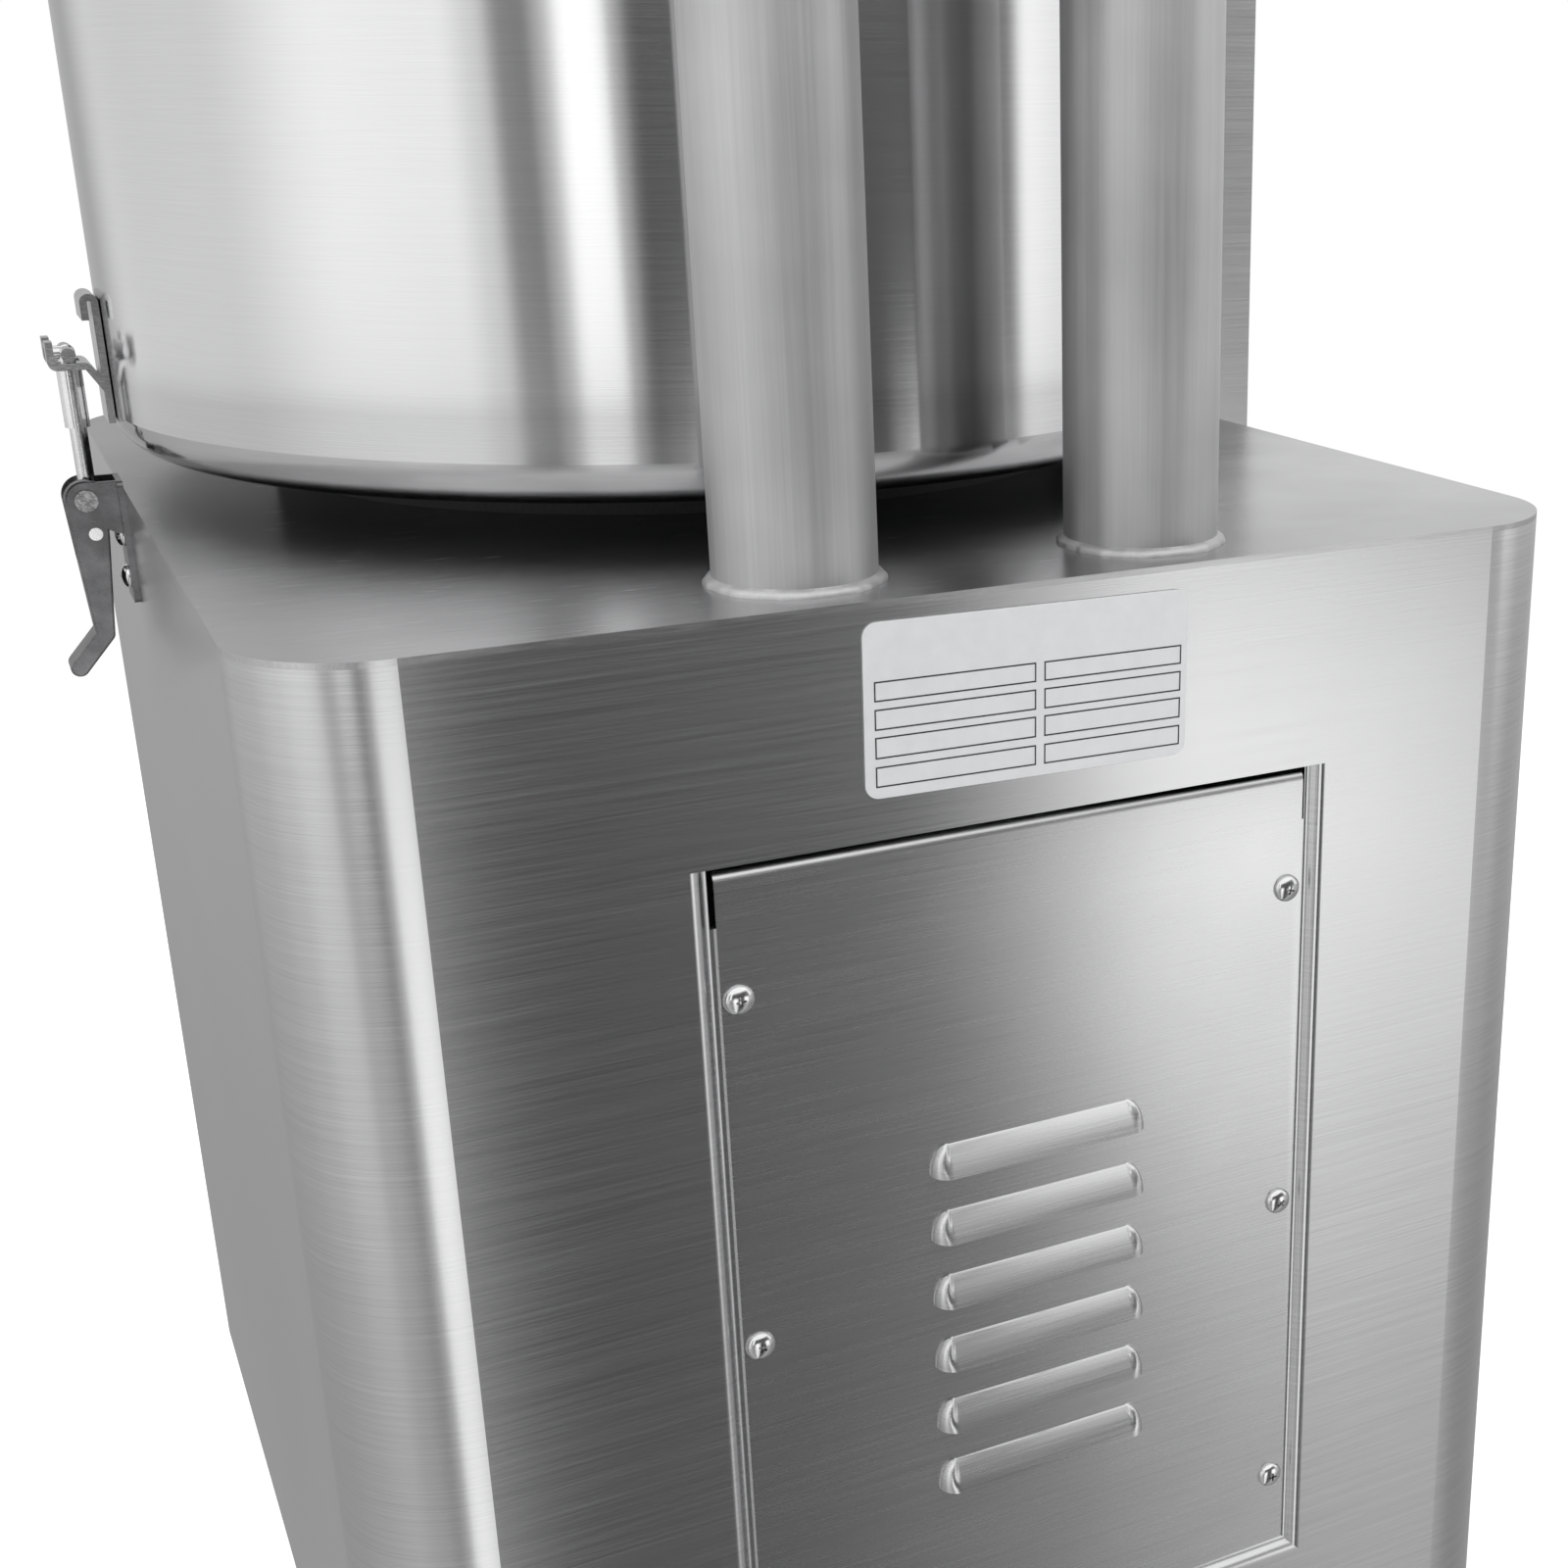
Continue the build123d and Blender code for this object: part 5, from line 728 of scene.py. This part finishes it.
def weldedTube(w, centre, low, high):
    r, out, up = w["radius"], w["beadOut"], w["beadUp"]
    outline = [(r + outShare * out, low + upShare * up) for outShare, upShare in w["beadOutline"]]
    outline += [(r, high), (r - w["wall"], high), (r - w["wall"], low)]
    bm = spunOutline(outline, w["steps"], closed=True)
    for v in bm.verts:
        if v.co.z < low + 0.9 * up and v.co.xy.length > r + 0.1 * out:  # on the bead, and not on the tube
            turn = math.atan2(v.co.y, v.co.x) + w["rippleShift"] * centre.x
            ripple = sum(share * math.sin(count * turn + start) for count, share, start in w["ripples"])
            v.co.xy *= 1 + ripple * w["unevenness"] / r
    bmesh.ops.translate(bm, verts=bm.verts, vec=(centre.x, centre.y, 0))
    return meshFrom(bm, "tubeBlank")


def pinBore(w, centre):
    low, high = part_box("hinge_pin")
    bm = bmesh.new()
    bore = w["pinRadius"] + w["boreGap"]
    bmesh.ops.create_cone(bm, cap_ends=True, segments=w["boreSteps"], radius1=bore, radius2=bore,
                          depth=3 * w["radius"])
    turnVerts(bm, bm.verts, 90, "Y")
    bmesh.ops.translate(bm, verts=bm.verts, vec=(centre.x, (low[1] + high[1]) / 2, (low[2] + high[2]) / 2))
    return meshFrom(bm, "boreBlank")


def makePost(w, node, name):
    low, high = (Vector(corner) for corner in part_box(node))
    centre = (low + high) / 2
    mesh = carved(weldedTube(w, centre, low.z, high.z), pinBore(w, centre))
    mesh.set_sharp_from_angle(angle=math.radians(w["sharpAngle"]))
    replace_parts(addPiece(mesh, name, "steel", tubeSteel), node)


makePost(weldedPost, "post_left", "leftPost")
makePost(weldedPost, "post_right", "rightPost")
print("posts welded on")


# Access panel: a sheet with a bent top edge and rounded louvres that are open below
louvredPanel = {
    "sheet": 0.0015,
    "face": 0.306,              # where the outer face is, along Y
    "bend": 0.004,
    "louvreMiddle": -0.0073,
    "topLip": 0.2963,           # height of the highest louvre's lower lip
    "pitch": 0.02425,
    "rows": 6,
    "length": 0.079,
    "rise": 0.006,
    "slopeSpan": (36.5, 25.5),  # degrees from upright at a louvre's top and at its lip
    "slopeSteps": 8,
    "swellBy": 50.0,            # degrees round an end by which it has swollen from wedge to dome
    "endSteps": 14,
    "wall": 0.001,
    "sink": 0.0004,             # how deep a louvre's foot is in the sheet
    "mouth": 0.0075,            # height of the slot in the sheet behind a louvre
    "holeRadius": 0.0022,
    "punchDepth": 0.012,
    "sharpAngle": 35,
}


def bentSheet(p, low, high):
    bm = bmesh.new()
    middleY, middleZ = p["face"] - p["bend"], high.z - p["bend"]
    outline = []
    for inset in (0, p["sheet"]):
        reach = p["bend"] - inset
        arc = [(middleY + reach * math.cos(a), middleZ + reach * math.sin(a)) for a in quarterTurn]
        run = [(p["face"] - inset, low.z)] + arc + [(low.y, high.z - inset)]
        outline += run if inset == 0 else run[::-1]
    section = bm.faces.new([bm.verts.new((low.x, y, z)) for y, z in outline])
    farSide = extrudedVerts(bmesh.ops.extrude_face_region(bm, geom=[section]))
    bmesh.ops.translate(bm, verts=farSide, vec=(high.x - low.x, 0, 0))
    bmesh.ops.recalc_face_normals(bm, faces=bm.faces)
    return meshFrom(bm, "panelBlank")


def panelPunch(p, screwPlaces):
    bm = bmesh.new()
    straight = p["length"] / 2 - p["rise"]
    for row in range(p["rows"]):
        made = bmesh.ops.create_cube(bm, size=1)["verts"]
        bmesh.ops.scale(bm, verts=made, vec=(2 * straight, p["punchDepth"], p["mouth"]))
        bmesh.ops.translate(bm, verts=made, vec=(p["louvreMiddle"], p["face"],
                                                 p["topLip"] - row * p["pitch"] + p["mouth"] / 2))
    for place in screwPlaces:
        made = bmesh.ops.create_cone(bm, cap_ends=True, segments=32, radius1=p["holeRadius"],
                                     radius2=p["holeRadius"], depth=p["punchDepth"])["verts"]
        turnVerts(bm, made, 90, "X")
        bmesh.ops.translate(bm, verts=made, vec=place)
    return meshFrom(bm, "panelPunch")


def louvreOutline(p):
    # the outer and the inner line of an upright section, from top to lip, each point out and up
    wall, out = p["wall"], p["rise"] + p["sink"]
    first, last = (math.radians(angle) for angle in p["slopeSpan"])
    height = out / math.tan((first + last) / 2)
    curve = height / (math.sin(first) - math.sin(last))
    steps = p["slopeSteps"]
    slopes = [first + (last - first) * k / steps for k in range(steps + 1)]
    outer = [(curve * (math.cos(t) - math.cos(first)), height - curve * (math.sin(first) - math.sin(t)))
             for t in slopes]
    inner = [(max(0, y - wall * math.cos(t)), max(0, z - wall * math.sin(t)))
             for (y, z), t in zip(outer, slopes)]
    return outer, inner, height


def swellEnd(p, bm, straight, domes):
    # lets the end of a louvre grow from the wedge of its section to a round dome
    for v in bm.verts:
        reach = math.hypot(v.co.x - straight, v.co.y)
        if v.co.x > straight + 1e-6 and reach > 1e-5:
            turn = math.atan2(v.co.x - straight, v.co.y)
            share = min(1, turn / math.radians(p["swellBy"]))
            share = share * share * (3 - 2 * share)  # starts and ends gently
            dome = domes.get(round(v.co.z, 6), reach)
            swollen = reach + share * max(0, dome - reach)
            v.co.x = straight + swollen * math.sin(turn)
            v.co.y = swollen * math.cos(turn)


def pressedLouvre(p):
    bm = bmesh.new()
    outer, inner, height = louvreOutline(p)
    out = p["rise"] + p["sink"]
    straight = p["length"] / 2 - out
    verts = [bm.verts.new((0, y, z)) for y, z in outer + inner[::-1]]
    edges = [bm.edges.new(pair) for pair in zip(verts, verts[1:] + verts[:1])]
    grown = bmesh.ops.extrude_edge_only(bm, edges=edges)
    ends = extrudedVerts(grown)
    bmesh.ops.translate(bm, verts=ends, vec=(straight, 0, 0))
    rim = [g for g in grown["geom"] if isinstance(g, bmesh.types.BMEdge) and all(v in ends for v in g.verts)]
    bmesh.ops.spin(bm, geom=ends + rim, cent=(straight, 0, 0), axis=(0, 0, -1), angle=math.radians(90),
                   steps=p["endSteps"])
    swellEnd(p, bm, straight, {round(z, 6): out * math.sqrt(max(0, 1 - (z / height) ** 2)) for y, z in outer})
    bmesh.ops.remove_doubles(bm, verts=bm.verts, dist=1e-6)
    bmesh.ops.mirror(bm, geom=bm.verts[:] + bm.edges[:] + bm.faces[:], matrix=Matrix.Identity(4),
                     merge_dist=1e-5, axis="X")
    bmesh.ops.holes_fill(bm, edges=[e for e in bm.edges if e.is_boundary], sides=0)
    bmesh.ops.recalc_face_normals(bm, faces=bm.faces)
    for face in bm.faces:
        face.smooth = True
        face.material_index = 1
    return meshFrom(bm, "pressedLouvre")


def makeLouvredPanel(p):
    low, high = (Vector(corner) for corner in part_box("access_panel"))
    bm = bmesh.new()
    bm.from_mesh(carved(bentSheet(p, low, high), panelPunch(p, domedScrew["rear"])))
    louvre = pressedLouvre(p)
    for row in range(p["rows"]):
        lip = p["topLip"] - row * p["pitch"]
        addCopy(bm, louvre, Matrix.Translation((p["louvreMiddle"], p["face"] - p["sink"], lip)))
    mesh = meshFrom(bm, "louvredPanel")
    mesh.set_sharp_from_angle(angle=math.radians(p["sharpAngle"]))
    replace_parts(addPiece(mesh, "louvredPanel", "steel", panelSteel, louvreSteelPaintedBright), "access_panel")
    print("panel bent and its louvres pressed:", len(mesh.polygons), "faces")


makeLouvredPanel(louvredPanel)
